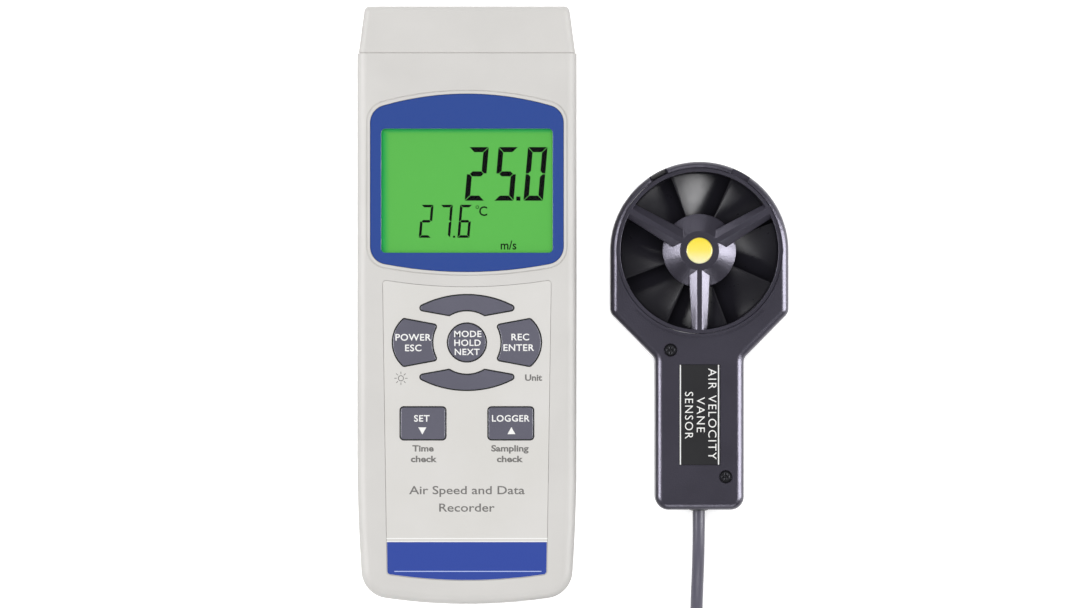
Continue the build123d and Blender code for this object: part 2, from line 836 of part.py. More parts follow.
with BuildPart() as card_socket:
    card_end_y = bottom_y + card_set_back
    socket_room = card_gap + card_socket_wall
    socket_outer = (card_size[0] + 2 * socket_room, card_size[2] + 2 * socket_room)
    socket_front_y = card_end_y + card_size[1] + card_gap + card_socket_wall - card_socket_length
    with BuildSketch(Plane.XZ.offset(-socket_front_y)):
        with Locations((0, card_height)):
            Rectangle(*socket_outer)
    extrude(amount=-card_socket_length)
    with BuildSketch(Plane.XZ.offset(-socket_front_y)):
        with Locations((0, card_height)):
            Rectangle(card_size[0] + 2 * card_gap, card_size[2] + 2 * card_gap)
    extrude(amount=card_socket_wall - card_socket_length, mode=Mode.SUBTRACT)
card_socket.part.label = "card_socket"
export_step(card_socket.part, "parts/card_socket.step")

with BuildPart() as memory_card:
    with BuildSketch(Plane.XY.offset(card_height - card_size[2] / 2)):
        with Locations((0, card_end_y + card_size[1] / 2)):
            Rectangle(card_size[0], card_size[1])
    extrude(amount=card_size[2])
    cut_corner = memory_card.edges().filter_by(Axis.Z).group_by(Axis.Y)[-1].sort_by(Axis.X)[-1]
    chamfer(cut_corner, card_cut_corner)
memory_card.part.label = "memory_card"
export_step(memory_card.part, "parts/memory_card.step")

# ================================================================ meter: back fittings
with BuildPart() as kickstand:
    with BuildSketch(Plane.XY.offset(stand_axis_z - stand_barrel_radius - stand_lip)):
        with Locations((0, (stand_bottom + stand_axis_y) / 2)):
            Rectangle(2 * stand_half_width, stand_axis_y - stand_bottom)
        with Locations((0, stand_bottom)):
            Circle(stand_notch_radius, mode=Mode.SUBTRACT)
    extrude(amount=stand_thickness)
    fillet(kickstand.edges().filter_by(Axis.Z).group_by(Axis.Y)[0], stand_corner_radius)
    with BuildSketch(Plane.YZ.offset(-stand_half_width)):
        with Locations((stand_axis_y, stand_axis_z)):
            Circle(stand_barrel_radius)
    extrude(amount=2 * stand_half_width)
    with BuildSketch(Plane.YZ.offset(-stand_half_width)):
        with Locations((stand_axis_y, stand_axis_z)):
            Circle(stand_pin_radius + stand_pin_clearance)
    extrude(amount=2 * stand_half_width, mode=Mode.SUBTRACT)
kickstand.part.label = "kickstand"
export_step(kickstand.part, "parts/kickstand.step")

with BuildPart() as kickstand_pin:
    with BuildSketch(Plane.YZ.offset(-stand_half_width - stand_gap - pin_grip)):
        with Locations((stand_axis_y, stand_axis_z)):
            Circle(stand_pin_radius)
    extrude(amount=2 * (stand_half_width + stand_gap + pin_grip))
kickstand_pin.part.label = "kickstand_pin"
export_step(kickstand_pin.part, "parts/kickstand_pin.step")

with BuildPart() as tripod_nut:
    with BuildSketch(Plane.XY.offset(tripod_nut_set_back)):
        with Locations((0, tripod_y)):
            Circle(tripod_nut_radius)
    extrude(amount=tripod_nut_length)
    with BuildSketch(Plane.XY.offset(tripod_nut_set_back)):
        with Locations((0, tripod_y)):
            Circle(tripod_radius)
    extrude(amount=tripod_depth, mode=Mode.SUBTRACT)
tripod_nut.part.label = "tripod_nut"
export_step(tripod_nut.part, "parts/tripod_nut.step")

# ================================================================ meter: sockets
with BuildPart() as probe_socket:
    with BuildSketch(Plane.XZ.offset(-top_y)):
        with Locations((probe_socket_x, socket_height)):
            Circle(probe_socket_radius)
    extrude(amount=probe_socket_length)
    with BuildSketch(Plane.XZ.offset(-(top_y - wall))):
        with Locations((probe_socket_x, socket_height)):
            Circle(probe_socket_radius + probe_flange_width)
    extrude(amount=socket_flange_thickness)
    with BuildSketch(Plane.XZ.offset(-top_y)):
        with Locations((probe_socket_x, socket_height)):
            Circle(probe_bore_radius)
    extrude(amount=probe_bore_depth, mode=Mode.SUBTRACT)
    with BuildSketch(Plane.XZ.offset(-(top_y - probe_bore_depth))):
        with Locations((probe_socket_x, socket_height)):
            with PolarLocations(contact_circle_radius, 4, start_angle=45):
                Circle(contact_hole_radius)
    extrude(amount=contact_hole_depth, mode=Mode.SUBTRACT)
probe_socket.part.label = "probe_socket"
export_step(probe_socket.part, "parts/probe_socket.step")

with BuildPart() as thermocouple_socket:
    with BuildSketch(Plane.XZ.offset(-top_y)):
        with Locations((couple_socket_x, socket_height)):
            Rectangle(*couple_size)
    extrude(amount=couple_length)
    with BuildSketch(Plane.XZ.offset(-(top_y - wall))):
        with Locations((couple_socket_x, socket_height)):
            Rectangle(couple_size[0] + 2 * couple_flange_width, couple_size[1] + 2 * couple_flange_width)
    extrude(amount=socket_flange_thickness)
    for side, slot_height in zip((-1, 1), couple_slots):
        with BuildSketch(Plane.XZ.offset(-top_y)):
            with Locations((couple_socket_x + side * couple_slot_pitch / 2, socket_height)):
                Rectangle(slot_height, couple_slot_width)
        extrude(amount=couple_slot_depth, mode=Mode.SUBTRACT)
thermocouple_socket.part.label = "thermocouple_socket"
export_step(thermocouple_socket.part, "parts/thermocouple_socket.step")

with BuildPart() as data_jack:
    with BuildSketch(Plane.YZ.offset(jack_side * (half_width - wall))):
        with Locations((data_jack_y, jack_height)):
            Circle(data_jack_nose_radius)
    extrude(amount=jack_side * wall)
    with BuildSketch(Plane.YZ.offset(jack_side * (half_width - wall))):
        with Locations((data_jack_y, jack_height)):
            Rectangle(jack_block[1], jack_block[2])
    extrude(amount=-jack_side * jack_block[0])
    with BuildSketch(Plane.YZ.offset(jack_side * half_width)):
        with Locations((data_jack_y, jack_height)):
            Circle(data_jack_radius)
    extrude(amount=-jack_side * data_jack_depth, mode=Mode.SUBTRACT)
data_jack.part.label = "data_jack"
export_step(data_jack.part, "parts/data_jack.step")

with BuildPart() as power_jack:
    with BuildSketch(Plane.YZ.offset(jack_side * (half_width - wall))):
        with Locations((power_jack_y, jack_height)):
            Circle(power_jack_nose_radius)
    extrude(amount=jack_side * wall)
    with BuildSketch(Plane.YZ.offset(jack_side * (half_width - wall))):
        with Locations((power_jack_y, jack_height)):
            Rectangle(jack_block[1], jack_block[2])
    extrude(amount=-jack_side * jack_block[0])
    with BuildSketch(Plane.YZ.offset(jack_side * half_width)):
        with Locations((power_jack_y, jack_height)):
            Circle(power_jack_radius)
            Circle(power_pin_radius, mode=Mode.SUBTRACT)
    extrude(amount=-jack_side * power_jack_depth, mode=Mode.SUBTRACT)
    with BuildSketch(Plane.YZ.offset(jack_side * half_width)):
        with Locations((power_jack_y, jack_height)):
            Circle(power_jack_radius)
    extrude(amount=-jack_side * power_pin_set_back, mode=Mode.SUBTRACT)
power_jack.part.label = "power_jack"
export_step(power_jack.part, "parts/power_jack.step")


# ================================================================ probe: housing
def at_height(vertices, y):
    """The vertices that lie at that Y."""
    return vertices.filter_by(lambda v: abs(v.Y - y) < 0.01)


def probe_outline():
    """The probe's outline from the front: a round head that runs over two shoulders into the handle."""
    with BuildSketch(mode=Mode.PRIVATE) as outline:
        with BuildLine():
            head = CenterArc((probe_x, probe_y), head_radius, 0, 180)
            Polyline(
                head @ 0, (probe_x + head_radius, shoulder_y), (probe_x + handle_half_width, neck_y),
                (probe_x + handle_half_width, handle_end_y), (probe_x - handle_half_width, handle_end_y),
                (probe_x - handle_half_width, neck_y), (probe_x - head_radius, shoulder_y), head @ 1,
            )
        make_face()
        fillet(at_height(outline.vertices(), shoulder_y), shoulder_radius)
        fillet(at_height(outline.vertices(), neck_y), neck_radius)
        fillet(at_height(outline.vertices(), handle_end_y), handle_corner_radius)
    return outline.sketch_local


def handle_cavity():
    """The hollow of the handle, seen from the front."""
    with BuildSketch(mode=Mode.PRIVATE) as outline:
        with Locations((probe_x, (handle_cavity_top + handle_end_y + handle_wall) / 2)):
            RectangleRounded(
                2 * (handle_half_width - handle_wall), handle_cavity_top - handle_end_y - handle_wall,
                handle_cavity_radius,
            )
    return outline.sketch_local


probe_middle = (probe_x, probe_y)
probe_screw_xys = [(probe_x + x, y) for x, y in probe_screw_places]
screw_seat_z = probe_height - probe_screw_recess

with BuildPart() as probe_front_shell:
    with BuildSketch(Plane.XY.offset(probe_split)):
        add(probe_outline())
    extrude(amount=probe_height - probe_split)
    fillet(probe_front_shell.faces().sort_by(Axis.Z)[-1].edges(), probe_edge_radius)
    chamfer(probe_front_shell.faces().sort_by(Axis.Z)[0].edges(), seam_groove)
    with BuildSketch(Plane.XY.offset(probe_split)):
        add(handle_cavity())
    extrude(amount=probe_height - probe_split - handle_wall, mode=Mode.SUBTRACT)
    with BuildSketch(Plane.XY.offset(probe_split)):
        with Locations(*probe_screw_xys):
            Circle(probe_boss_radius)
    extrude(amount=screw_seat_z - probe_split)
    with BuildSketch(Plane.XY.offset(screw_seat_z)):
        with Locations(*probe_screw_xys):
            Circle(probe_screw_recess_radius)
    extrude(amount=probe_screw_recess, mode=Mode.SUBTRACT)
    with BuildSketch(Plane.XY.offset(probe_split)):
        with Locations(*probe_screw_xys):
            Circle(probe_screw_radius + screw_gap)
    extrude(amount=probe_height - probe_split, mode=Mode.SUBTRACT)
    # the groove that carries the head's ring on over the handle
    with BuildSketch(Plane.XY.offset(probe_height - ring_groove_depth)):
        with Locations(probe_middle):
            Circle(ring_groove_radius)
            Circle(ring_groove_radius - ring_groove_width, mode=Mode.SUBTRACT)
        with Locations((probe_x, probe_y + head_radius)):
            Rectangle(
                3 * head_radius, 2 * (probe_y + head_radius - shoulder_y - ring_groove_end_rise), mode=Mode.SUBTRACT
            )
    extrude(amount=ring_groove_depth, mode=Mode.SUBTRACT)
    with BuildSketch(Plane.XY.offset(probe_height - label_depth)):
        with Locations((probe_x, label_centre_y)):
            RectangleRounded(*label_size, label_corner_radius)
    extrude(amount=label_depth, mode=Mode.SUBTRACT)
    with BuildSketch(Plane.XY.offset(probe_split)):
        with Locations(probe_middle):
            Circle(head_bore_radius)
    extrude(amount=probe_height - probe_split, mode=Mode.SUBTRACT)
    for notch_angle in notch_angles:
        notch_plane = Plane(
            origin=(
                probe_x + head_radius * math.cos(math.radians(notch_angle)),
                probe_y + head_radius * math.sin(math.radians(notch_angle)),
                probe_height - notch_depth,
            ),
            x_dir=(math.cos(math.radians(notch_angle)), math.sin(math.radians(notch_angle)), 0),
        )
        with BuildSketch(notch_plane):
            Rectangle(notch_reach * (head_radius - head_bore_radius), notch_width)
        extrude(amount=notch_depth, mode=Mode.SUBTRACT)
    with BuildSketch(Plane.XZ.offset(-handle_end_y)):
        with Locations((probe_x, probe_split)):
            Circle(gland_radius)
    extrude(amount=-handle_wall, mode=Mode.SUBTRACT)
probe_front_shell.part.label = "probe_front_shell"
export_step(probe_front_shell.part, "parts/probe_front_shell.step")

with BuildPart() as probe_back_shell:
    with BuildSketch():
        add(probe_outline())
    extrude(amount=probe_split)
    fillet(probe_back_shell.faces().sort_by(Axis.Z)[0].edges(), probe_edge_radius)
    chamfer(probe_back_shell.faces().sort_by(Axis.Z)[-1].edges(), seam_groove)
    with BuildSketch(Plane.XY.offset(handle_wall)):
        add(handle_cavity())
    extrude(amount=probe_split - handle_wall, mode=Mode.SUBTRACT)
    with BuildSketch(Plane.XY.offset(root)):
        with Locations(*probe_screw_xys):
            Circle(probe_boss_radius)
    extrude(amount=probe_split - root)
    with BuildSketch(Plane.XY.offset(screw_seat_z - probe_screw_length)):
        with Locations(*probe_screw_xys):
            Circle(probe_screw_radius)
    extrude(amount=probe_split - screw_seat_z + probe_screw_length, mode=Mode.SUBTRACT)
    with BuildSketch():
        with Locations(probe_middle):
            Circle(head_bore_radius)
    extrude(amount=probe_split, mode=Mode.SUBTRACT)
    with BuildSketch(Plane.XZ.offset(-handle_end_y)):
        with Locations((probe_x, probe_split)):
            Circle(gland_radius)
    extrude(amount=-handle_wall, mode=Mode.SUBTRACT)
probe_back_shell.part.label = "probe_back_shell"
export_step(probe_back_shell.part, "parts/probe_back_shell.step")

with BuildPart() as probe_screws:
    with BuildSketch(Plane.XY.offset(screw_seat_z)):
        with Locations(*probe_screw_xys):
            Circle(probe_screw_head_radius)
    extrude(amount=probe_screw_head_height)
    with BuildSketch(Plane.XY.offset(screw_seat_z)):
        with Locations(*probe_screw_xys):
            Circle(probe_screw_radius)
    extrude(amount=-probe_screw_length)
probe_screws.part.label = "probe_screws"
export_step(probe_screws.part, "parts/probe_screws.step")

with BuildPart() as probe_label:
    with BuildSketch(Plane.XY.offset(probe_height - label_depth)):
        with Locations((probe_x, label_centre_y)):
            RectangleRounded(
                label_size[0] - 2 * label_gap, label_size[1] - 2 * label_gap, label_corner_radius - label_gap
            )
    extrude(amount=label_thickness)
probe_label.part.label = "probe_label"
export_step(probe_label.part, "parts/probe_label.step")

# ================================================================ probe: guards
guard_top = probe_height - guard_set_back
hub_floor = guard_top - hub_height
strut_ends = (hub_nose_radius - strut_roots[0], guard_ring_radius + strut_roots[1])


def spoke_plane(angle, distance, height):
    """A plane that looks outwards along a spoke, at that distance from the vane's axis."""
    out = (math.cos(math.radians(angle)), math.sin(math.radians(angle)), 0)
    return Plane(
        origin=(probe_x + distance * out[0], probe_y + distance * out[1], height),
        x_dir=(-out[1], out[0], 0),
        z_dir=out,
    )


with BuildPart() as front_guard:
    with BuildSketch(Plane.XY.offset(guard_top - guard_ring_height)):
        with Locations(probe_middle):
            Circle(head_bore_radius - guard_clearance)
            Circle(guard_ring_radius, mode=Mode.SUBTRACT)
    extrude(amount=guard_ring_height)
    with BuildSketch(Plane.XY.offset(hub_floor)):
        with Locations(probe_middle):
            Circle(hub_radius)
    extrude(amount=hub_height - hub_cone_height)
    with Locations((probe_x, probe_y, guard_top - hub_cone_height / 2)):
        Cone(hub_radius, hub_nose_radius, hub_cone_height)
    for strut_angle in strut_angles:
        for base, distance in zip(strut_base, strut_ends):
            with BuildSketch(spoke_plane(strut_angle, distance, guard_top - strut_height)):
                with BuildLine():
                    Polyline(
                        (-base / 2, 0), (base / 2, 0), (base / 2, strut_height - strut_ridge_height),
                        (strut_crest / 2, strut_height), (-strut_crest / 2, strut_height),
                        (-base / 2, strut_height - strut_ridge_height), close=True,
                    )
                make_face()
        loft()
    with BuildSketch(Plane.XY.offset(hub_floor)):
        with Locations(probe_middle):
            Circle(bearing_radius)
    extrude(amount=bearing_length + bearing_end_room, mode=Mode.SUBTRACT)
    with BuildSketch(Plane.XY.offset(guard_top - hub_cap_thickness)):
        with Locations(probe_middle):
            Circle(hub_cap_radius)
    extrude(amount=hub_cap_thickness, mode=Mode.SUBTRACT)
front_guard.part.label = "front_guard"
export_step(front_guard.part, "parts/front_guard.step")

with BuildPart() as rear_guard:
    with BuildSketch(Plane.XY.offset(probe_height - guard_top)):
        with Locations(probe_middle):
            Circle(head_bore_radius - guard_clearance)
            Circle(guard_ring_radius, mode=Mode.SUBTRACT)
    extrude(amount=guard_ring_height)
    with BuildSketch(Plane.XY.offset(probe_height - hub_floor)):
        with Locations(probe_middle):
            Circle(hub_radius)
    extrude(amount=hub_cone_height - hub_height)
    with Locations((probe_x, probe_y, probe_height - guard_top + hub_cone_height / 2)):
        Cone(hub_nose_radius, hub_radius, hub_cone_height)
    for strut_angle in strut_angles:
        for base, distance in zip(strut_base, strut_ends):
            with BuildSketch(spoke_plane(strut_angle, distance, probe_height - guard_top)):
                with BuildLine():
                    Polyline(
                        (-strut_crest / 2, 0), (strut_crest / 2, 0), (base / 2, strut_ridge_height),
                        (base / 2, strut_height), (-base / 2, strut_height),
                        (-base / 2, strut_ridge_height), close=True,
                    )
                make_face()
        loft()
    with BuildSketch(Plane.XY.offset(probe_height - hub_floor)):
        with Locations(probe_middle):
            Circle(bearing_radius)
    extrude(amount=-bearing_length - bearing_end_room, mode=Mode.SUBTRACT)
    with BuildSketch(Plane.XY.offset(probe_height - hub_floor)):
        with Locations((probe_x, probe_y - magnet_circle_radius)):
            Rectangle(pickup_size[0], pickup_size[1])
    extrude(amount=-pickup_size[2], mode=Mode.SUBTRACT)
rear_guard.part.label = "rear_guard"
export_step(rear_guard.part, "parts/rear_guard.step")

with BuildPart() as hub_cap:
    with BuildSketch(Plane.XY.offset(guard_top - hub_cap_thickness)):
        with Locations(probe_middle):
            Circle(hub_cap_radius)
    extrude(amount=hub_cap_thickness + hub_cap_proud)
    fillet(hub_cap.faces().sort_by(Axis.Z)[-1].edges(), hub_cap_edge_radius)
hub_cap.part.label = "hub_cap"
export_step(hub_cap.part, "parts/hub_cap.step")

with BuildPart() as rotor_bearings:
    with BuildSketch(Plane.XY.offset(hub_floor)):
        with Locations(probe_middle):
            Circle(bearing_radius)
            Circle(shaft_radius + shaft_clearance, mode=Mode.SUBTRACT)
    extrude(amount=bearing_length)
    with BuildSketch(Plane.XY.offset(probe_height - hub_floor)):
        with Locations(probe_middle):
            Circle(bearing_radius)
            Circle(shaft_radius + shaft_clearance, mode=Mode.SUBTRACT)
    extrude(amount=-bearing_length)
rotor_bearings.part.label = "rotor_bearings"
export_step(rotor_bearings.part, "parts/rotor_bearings.step")

with BuildPart() as pickup_sensor:
    with BuildSketch(Plane.XY.offset(probe_height - hub_floor)):
        with Locations((probe_x, probe_y - magnet_circle_radius)):
            Rectangle(pickup_size[0], pickup_size[1])
    extrude(amount=-pickup_size[2])
pickup_sensor.part.label = "pickup_sensor"
export_step(pickup_sensor.part, "parts/pickup_sensor.step")

# ================================================================ probe: vane
with BuildPart() as vane_rotor:
    with BuildSketch(Plane.XY.offset(rotor_bottom)):
        with Locations(probe_middle):
            Circle(rotor_hub_radius)
    extrude(amount=blade_height)
    for blade in range(blade_count):
        middle_angle = blade_first_edge + 360 / blade_count * blade - blade_span / 2
        for distance in (blade_root_radius, blade_tip_radius + root):
            reach = 2 * distance * math.sin(math.radians(blade_span / 2))
            slope = math.degrees(math.atan2(blade_height - blade_thickness, reach))
            with BuildSketch(spoke_plane(middle_angle, distance, probe_split)):
                Rectangle(math.hypot(reach, blade_height - blade_thickness), blade_thickness, rotation=slope)
        loft()
    with BuildSketch(Plane.XY.offset(rotor_bottom)):
        with Locations(probe_middle):
            Circle(blade_tip_radius)
    extrude(amount=blade_height, mode=Mode.INTERSECT)
    with BuildSketch(Plane.XY.offset(rotor_bottom)):
        with Locations(probe_middle):
            Circle(shaft_radius)
    extrude(amount=blade_height, mode=Mode.SUBTRACT)
    with BuildSketch(Plane.XY.offset(rotor_bottom)):
        with Locations(probe_middle):
            with PolarLocations(magnet_circle_radius, 2, start_angle=90):
                Circle(magnet_radius)
    extrude(amount=magnet_length, mode=Mode.SUBTRACT)
vane_rotor.part.label = "vane_rotor"
export_step(vane_rotor.part, "parts/vane_rotor.step")

with BuildPart() as rotor_shaft:
    with BuildSketch(Plane.XY.offset(probe_split - shaft_length / 2)):
        with Locations(probe_middle):
            Circle(shaft_radius)
    extrude(amount=shaft_length)
rotor_shaft.part.label = "rotor_shaft"
export_step(rotor_shaft.part, "parts/rotor_shaft.step")

with BuildPart() as rotor_magnets:
    with BuildSketch(Plane.XY.offset(rotor_bottom)):
        with Locations(probe_middle):
            with PolarLocations(magnet_circle_radius, 2, start_angle=90):
                Circle(magnet_radius)
    extrude(amount=magnet_length)
rotor_magnets.part.label = "rotor_magnets"
export_step(rotor_magnets.part, "parts/rotor_magnets.step")

# ================================================================ probe: inside the handle and the head's rim
with BuildPart() as probe_board:
    with BuildSketch(Plane.XY.offset(probe_split - probe_board_size[2] / 2)):
        with Locations((probe_x + probe_board_place[0], probe_board_place[1])):
            Rectangle(probe_board_size[0], probe_board_size[1])
    extrude(amount=probe_board_size[2])
probe_board.part.label = "probe_board"
export_step(probe_board.part, "parts/probe_board.step")

with BuildPart() as temperature_sensor:
    sensor_spoke = math.radians(notch_angles[1])
    sensor_ring = (head_radius + head_bore_radius) / 2
    sensor_plane = Plane(
        origin=(
            probe_x + sensor_ring * math.cos(sensor_spoke),
            probe_y + sensor_ring * math.sin(sensor_spoke),
            probe_height - notch_depth + sensor_radius,
        ),
        z_dir=(-math.sin(sensor_spoke), math.cos(sensor_spoke), 0),
    )
    with BuildSketch(sensor_plane):
        Circle(sensor_radius)
    extrude(amount=notch_width / 2 - sensor_end_gap, both=True)
temperature_sensor.part.label = "temperature_sensor"
export_step(temperature_sensor.part, "parts/temperature_sensor.step")

with BuildPart() as cable_gland:
    with BuildSketch(Plane.XZ.offset(-handle_end_y + gland_proud)):
        with Locations((probe_x, probe_split)):
            Circle(gland_radius)
    extrude(amount=-gland_proud - handle_wall)
    with BuildSketch(Plane.XZ.offset(-handle_end_y - handle_wall)):
        with Locations((probe_x, probe_split)):
            Circle(gland_flange_radius)
    extrude(amount=-gland_flange_thickness)
cable_gland.part.label = "cable_gland"
export_step(cable_gland.part, "parts/cable_gland.step")

# ================================================================ cable
cable_radius = cable_diameter / 2
coil_low = tie_thickness  # the coil rests on the tie round it
coil_first_z = coil_low + cable_radius
coil_last_z = coil_first_z + cable_diameter * (coil_layers - 1)
coil_inner_radius = coil_outer_radius - coil_turns_across * cable_diameter
exit_y = handle_end_y - gland_proud
lead_route = [
    (probe_x, exit_y, probe_split),
    (probe_x, -83.5, probe_split),
    (78.6, -103.0, 2.2),
    (78.4, -123.0, 2.4),
    (coil_x + coil_outer_radius, coil_y, coil_first_z),
]
tail_route = [
    (coil_x, coil_y - coil_outer_radius - tail_start_out, coil_last_z),
    (39.3, -174.1, 6.7),
    (31.5, plug_axis_y, plug_height),
    (plug_tail_x, plug_axis_y, plug_height),
]


def corner_radii(route):
    """The largest radius for each corner of a cable's route: 0.45 of the shorter run over tan(half the turn)."""
    radii = []
    for before, corner, after in zip(route, route[1:], route[2:]):
        run_in = Vector(*corner) - Vector(*before)
        run_out = Vector(*after) - Vector(*corner)
        half_turn = math.radians(run_in.get_angle(run_out)) / 2
        radii.append(0.45 * min(run_in.length, run_out.length) / math.tan(half_turn))
    return radii


cable_routes = {"cable_lead": lead_route, "cable_tail": tail_route}
for cable_name, route in cable_routes.items():
    radii = corner_radii(route)
    with BuildPart() as cable:
        with BuildLine() as cable_path:
            FilletPolyline(*route, radius=radii)
        with BuildSketch(Plane(origin=cable_path.line @ 0, z_dir=cable_path.line % 0)):
            Circle(cable_radius)
        sweep()
    cable.part.label = cable_name
    export_step(cable.part, f"parts/{cable_name}.step")
    cable_length = cable_path.wires()[0].length
    expected = math.pi * cable_radius**2 * cable_length
    print(cable_name, "radii", [round(radius, 1) for radius in radii], "length", round(cable_length, 1))
    print(cable_name, "volume", round(cable.part.volume, 1), "section times length", round(expected, 1))

with BuildPart() as cable_coil:
    with BuildSketch(Plane.XY.offset(coil_low)):
        with Locations((coil_x, coil_y)):
            Circle(coil_outer_radius + cable_radius)
            Circle(coil_inner_radius - cable_radius, mode=Mode.SUBTRACT)
    extrude(amount=cable_diameter * coil_layers)
cable_coil.part.label = "cable_coil"
export_step(cable_coil.part, "parts/cable_coil.step")

with BuildPart() as coil_tie:
    tie_spoke = math.radians(tie_angle)
    ring_middle = (coil_outer_radius + coil_inner_radius) / 2
    ring_width = coil_outer_radius - coil_inner_radius + cable_diameter
    tie_plane = Plane(
        origin=(coil_x + ring_middle * math.cos(tie_spoke), coil_y + ring_middle * math.sin(tie_spoke), 0),
        x_dir=(math.cos(tie_spoke), math.sin(tie_spoke), 0),
        z_dir=(math.sin(tie_spoke), -math.cos(tie_spoke), 0),
    )
    inner_height = cable_diameter * coil_layers + tie_slack
    with BuildSketch(tie_plane):
        with Locations((0, inner_height / 2 + tie_thickness)):
            Rectangle(ring_width + 2 * (tie_slack + tie_thickness), inner_height + 2 * tie_thickness)
            Rectangle(ring_width + 2 * tie_slack, inner_height, mode=Mode.SUBTRACT)
    extrude(amount=tie_width / 2, both=True)
coil_tie.part.label = "coil_tie"
export_step(coil_tie.part, "parts/coil_tie.step")

# ================================================================ plug, lying on its side with its pins towards -X
grip_x = plug_tail_x - boot_length
shell_x = grip_x - plug_grip_length
mouth_x = shell_x - plug_shell_length


def across(x):
    """A plane across the plug at that X, looking along +X, with its origin on the plug's axis."""
    return Plane(origin=(x, plug_axis_y, plug_height), x_dir=(0, 1, 0), z_dir=(1, 0, 0))


with BuildPart() as plug_boot:
    with BuildSketch(across(grip_x)):
        Circle(boot_radii[1])
    with BuildSketch(across(plug_tail_x)):
        Circle(boot_radii[0])
    loft()
plug_boot.part.label = "plug_boot"
export_step(plug_boot.part, "parts/plug_boot.step")

with BuildPart() as plug_grip:
    with BuildSketch(across(shell_x)):
        Circle(plug_grip_radius)
    extrude(amount=plug_grip_length)
    fillet(plug_grip.edges(), plug_grip_edge_radius)
plug_grip.part.label = "plug_grip"
export_step(plug_grip.part, "parts/plug_grip.step")

with BuildPart() as plug_shell:
    with BuildSketch(across(mouth_x)):
        Circle(plug_shell_radius)
        Circle(plug_shell_radius - plug_shell_wall, mode=Mode.SUBTRACT)
    extrude(amount=plug_shell_length)
plug_shell.part.label = "plug_shell"
export_step(plug_shell.part, "parts/plug_shell.step")

with BuildPart() as plug_insert:
    with BuildSketch(across(mouth_x + plug_insert_gap)):
        Circle(plug_shell_radius - plug_shell_wall)
    extrude(amount=plug_shell_length - plug_insert_gap)
plug_insert.part.label = "plug_insert"
export_step(plug_insert.part, "parts/plug_insert.step")

with BuildPart() as plug_pins:
    with BuildSketch(across(mouth_x + plug_pin_set_back)):
        with PolarLocations(contact_circle_radius, 4, start_angle=45):
            Circle(plug_pin_radius)
    extrude(amount=plug_insert_gap - plug_pin_set_back)
plug_pins.part.label = "plug_pins"
export_step(plug_pins.part, "parts/plug_pins.step")
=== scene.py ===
import json
import math

import bmesh
import bpy
import numpy as np
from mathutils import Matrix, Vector


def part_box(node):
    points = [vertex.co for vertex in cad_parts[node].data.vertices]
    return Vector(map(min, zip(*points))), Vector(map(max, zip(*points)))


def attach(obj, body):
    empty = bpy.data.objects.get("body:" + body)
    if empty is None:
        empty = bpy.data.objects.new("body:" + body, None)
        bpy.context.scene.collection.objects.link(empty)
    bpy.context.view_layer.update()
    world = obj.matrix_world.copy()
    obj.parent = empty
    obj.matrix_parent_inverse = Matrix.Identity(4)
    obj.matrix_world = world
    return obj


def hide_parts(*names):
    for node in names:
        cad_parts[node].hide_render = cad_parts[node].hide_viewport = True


# A handheld weather meter that lies on its back, and its vane probe on a cable beside it. Sizes are written in
# millimetres times mm, and every place is in the same frame as the solids: +Z up, +Y to the sockets.
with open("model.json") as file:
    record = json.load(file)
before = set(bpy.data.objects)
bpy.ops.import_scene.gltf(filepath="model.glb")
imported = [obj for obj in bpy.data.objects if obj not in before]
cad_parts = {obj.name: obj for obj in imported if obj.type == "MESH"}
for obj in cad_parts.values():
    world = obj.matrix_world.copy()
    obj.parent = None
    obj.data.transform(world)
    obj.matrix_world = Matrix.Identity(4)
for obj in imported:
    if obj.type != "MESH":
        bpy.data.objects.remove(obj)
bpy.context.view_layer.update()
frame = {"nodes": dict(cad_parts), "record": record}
mm = 0.001

# ------------------------------------------------------------------ floor, camera and lights
# A white lit table, seen straight down through a long lens. A wide overhead softbox lights the flats evenly, and a
# strip on each side and one past each end draw the bright lines along the edges.
look_at = (24.8 * mm, 0.4 * mm, 30.0 * mm)
seen_width = 367.5 * mm
camera_height = 2.55
sensor_width = 36.0
lens_data = bpy.data.cameras.new("long_lens")
lens_data.sensor_width = sensor_width
lens_data.lens = sensor_width * (camera_height - look_at[2]) / seen_width
lens_data.clip_end = 20.0
camera = bpy.data.objects.new("long_lens", lens_data)
camera.location = (look_at[0], look_at[1], camera_height)
bpy.context.scene.collection.objects.link(camera)
bpy.context.scene.camera = camera
bpy.context.scene.view_settings.view_transform = "Standard"


def hex_colour(code):
    """Linear red, green, blue and alpha of an sRGB hex code, by the sRGB curve."""
    channel = np.array([int(code[start:start + 2], 16) for start in (1, 3, 5)]) / 255
    linear = np.where(channel <= 0.04045, channel / 12.92, ((channel + 0.055) / 1.055) ** 2.4)
    return (*linear.tolist(), 1.0)


def add_node(tree, kind, inputs=None, **settings):
    """Adds a node with its settings; each input is a value to hold or another node's socket to link."""
    node = tree.nodes.new(kind)
    for name, value in settings.items():
        setattr(node, name, value)
    for name, value in (inputs or {}).items():
        if isinstance(value, bpy.types.NodeSocket):
            tree.links.new(value, node.inputs[name])
        else:
            node.inputs[name].default_value = value
    return node


def start_finish(name, kind="ShaderNodeBsdfPrincipled", **sockets):
    """A material with one shader on its output: the material, its tree and that shader."""
    finish = bpy.data.materials.new(name)
    finish.use_nodes = True
    tree = finish.node_tree
    tree.nodes.clear()
    shader = add_node(tree, kind, {key.replace("_", " "): value for key, value in sockets.items()})
    add_node(tree, "ShaderNodeOutputMaterial", {"Surface": shader.outputs[0]})
    return finish, tree, shader


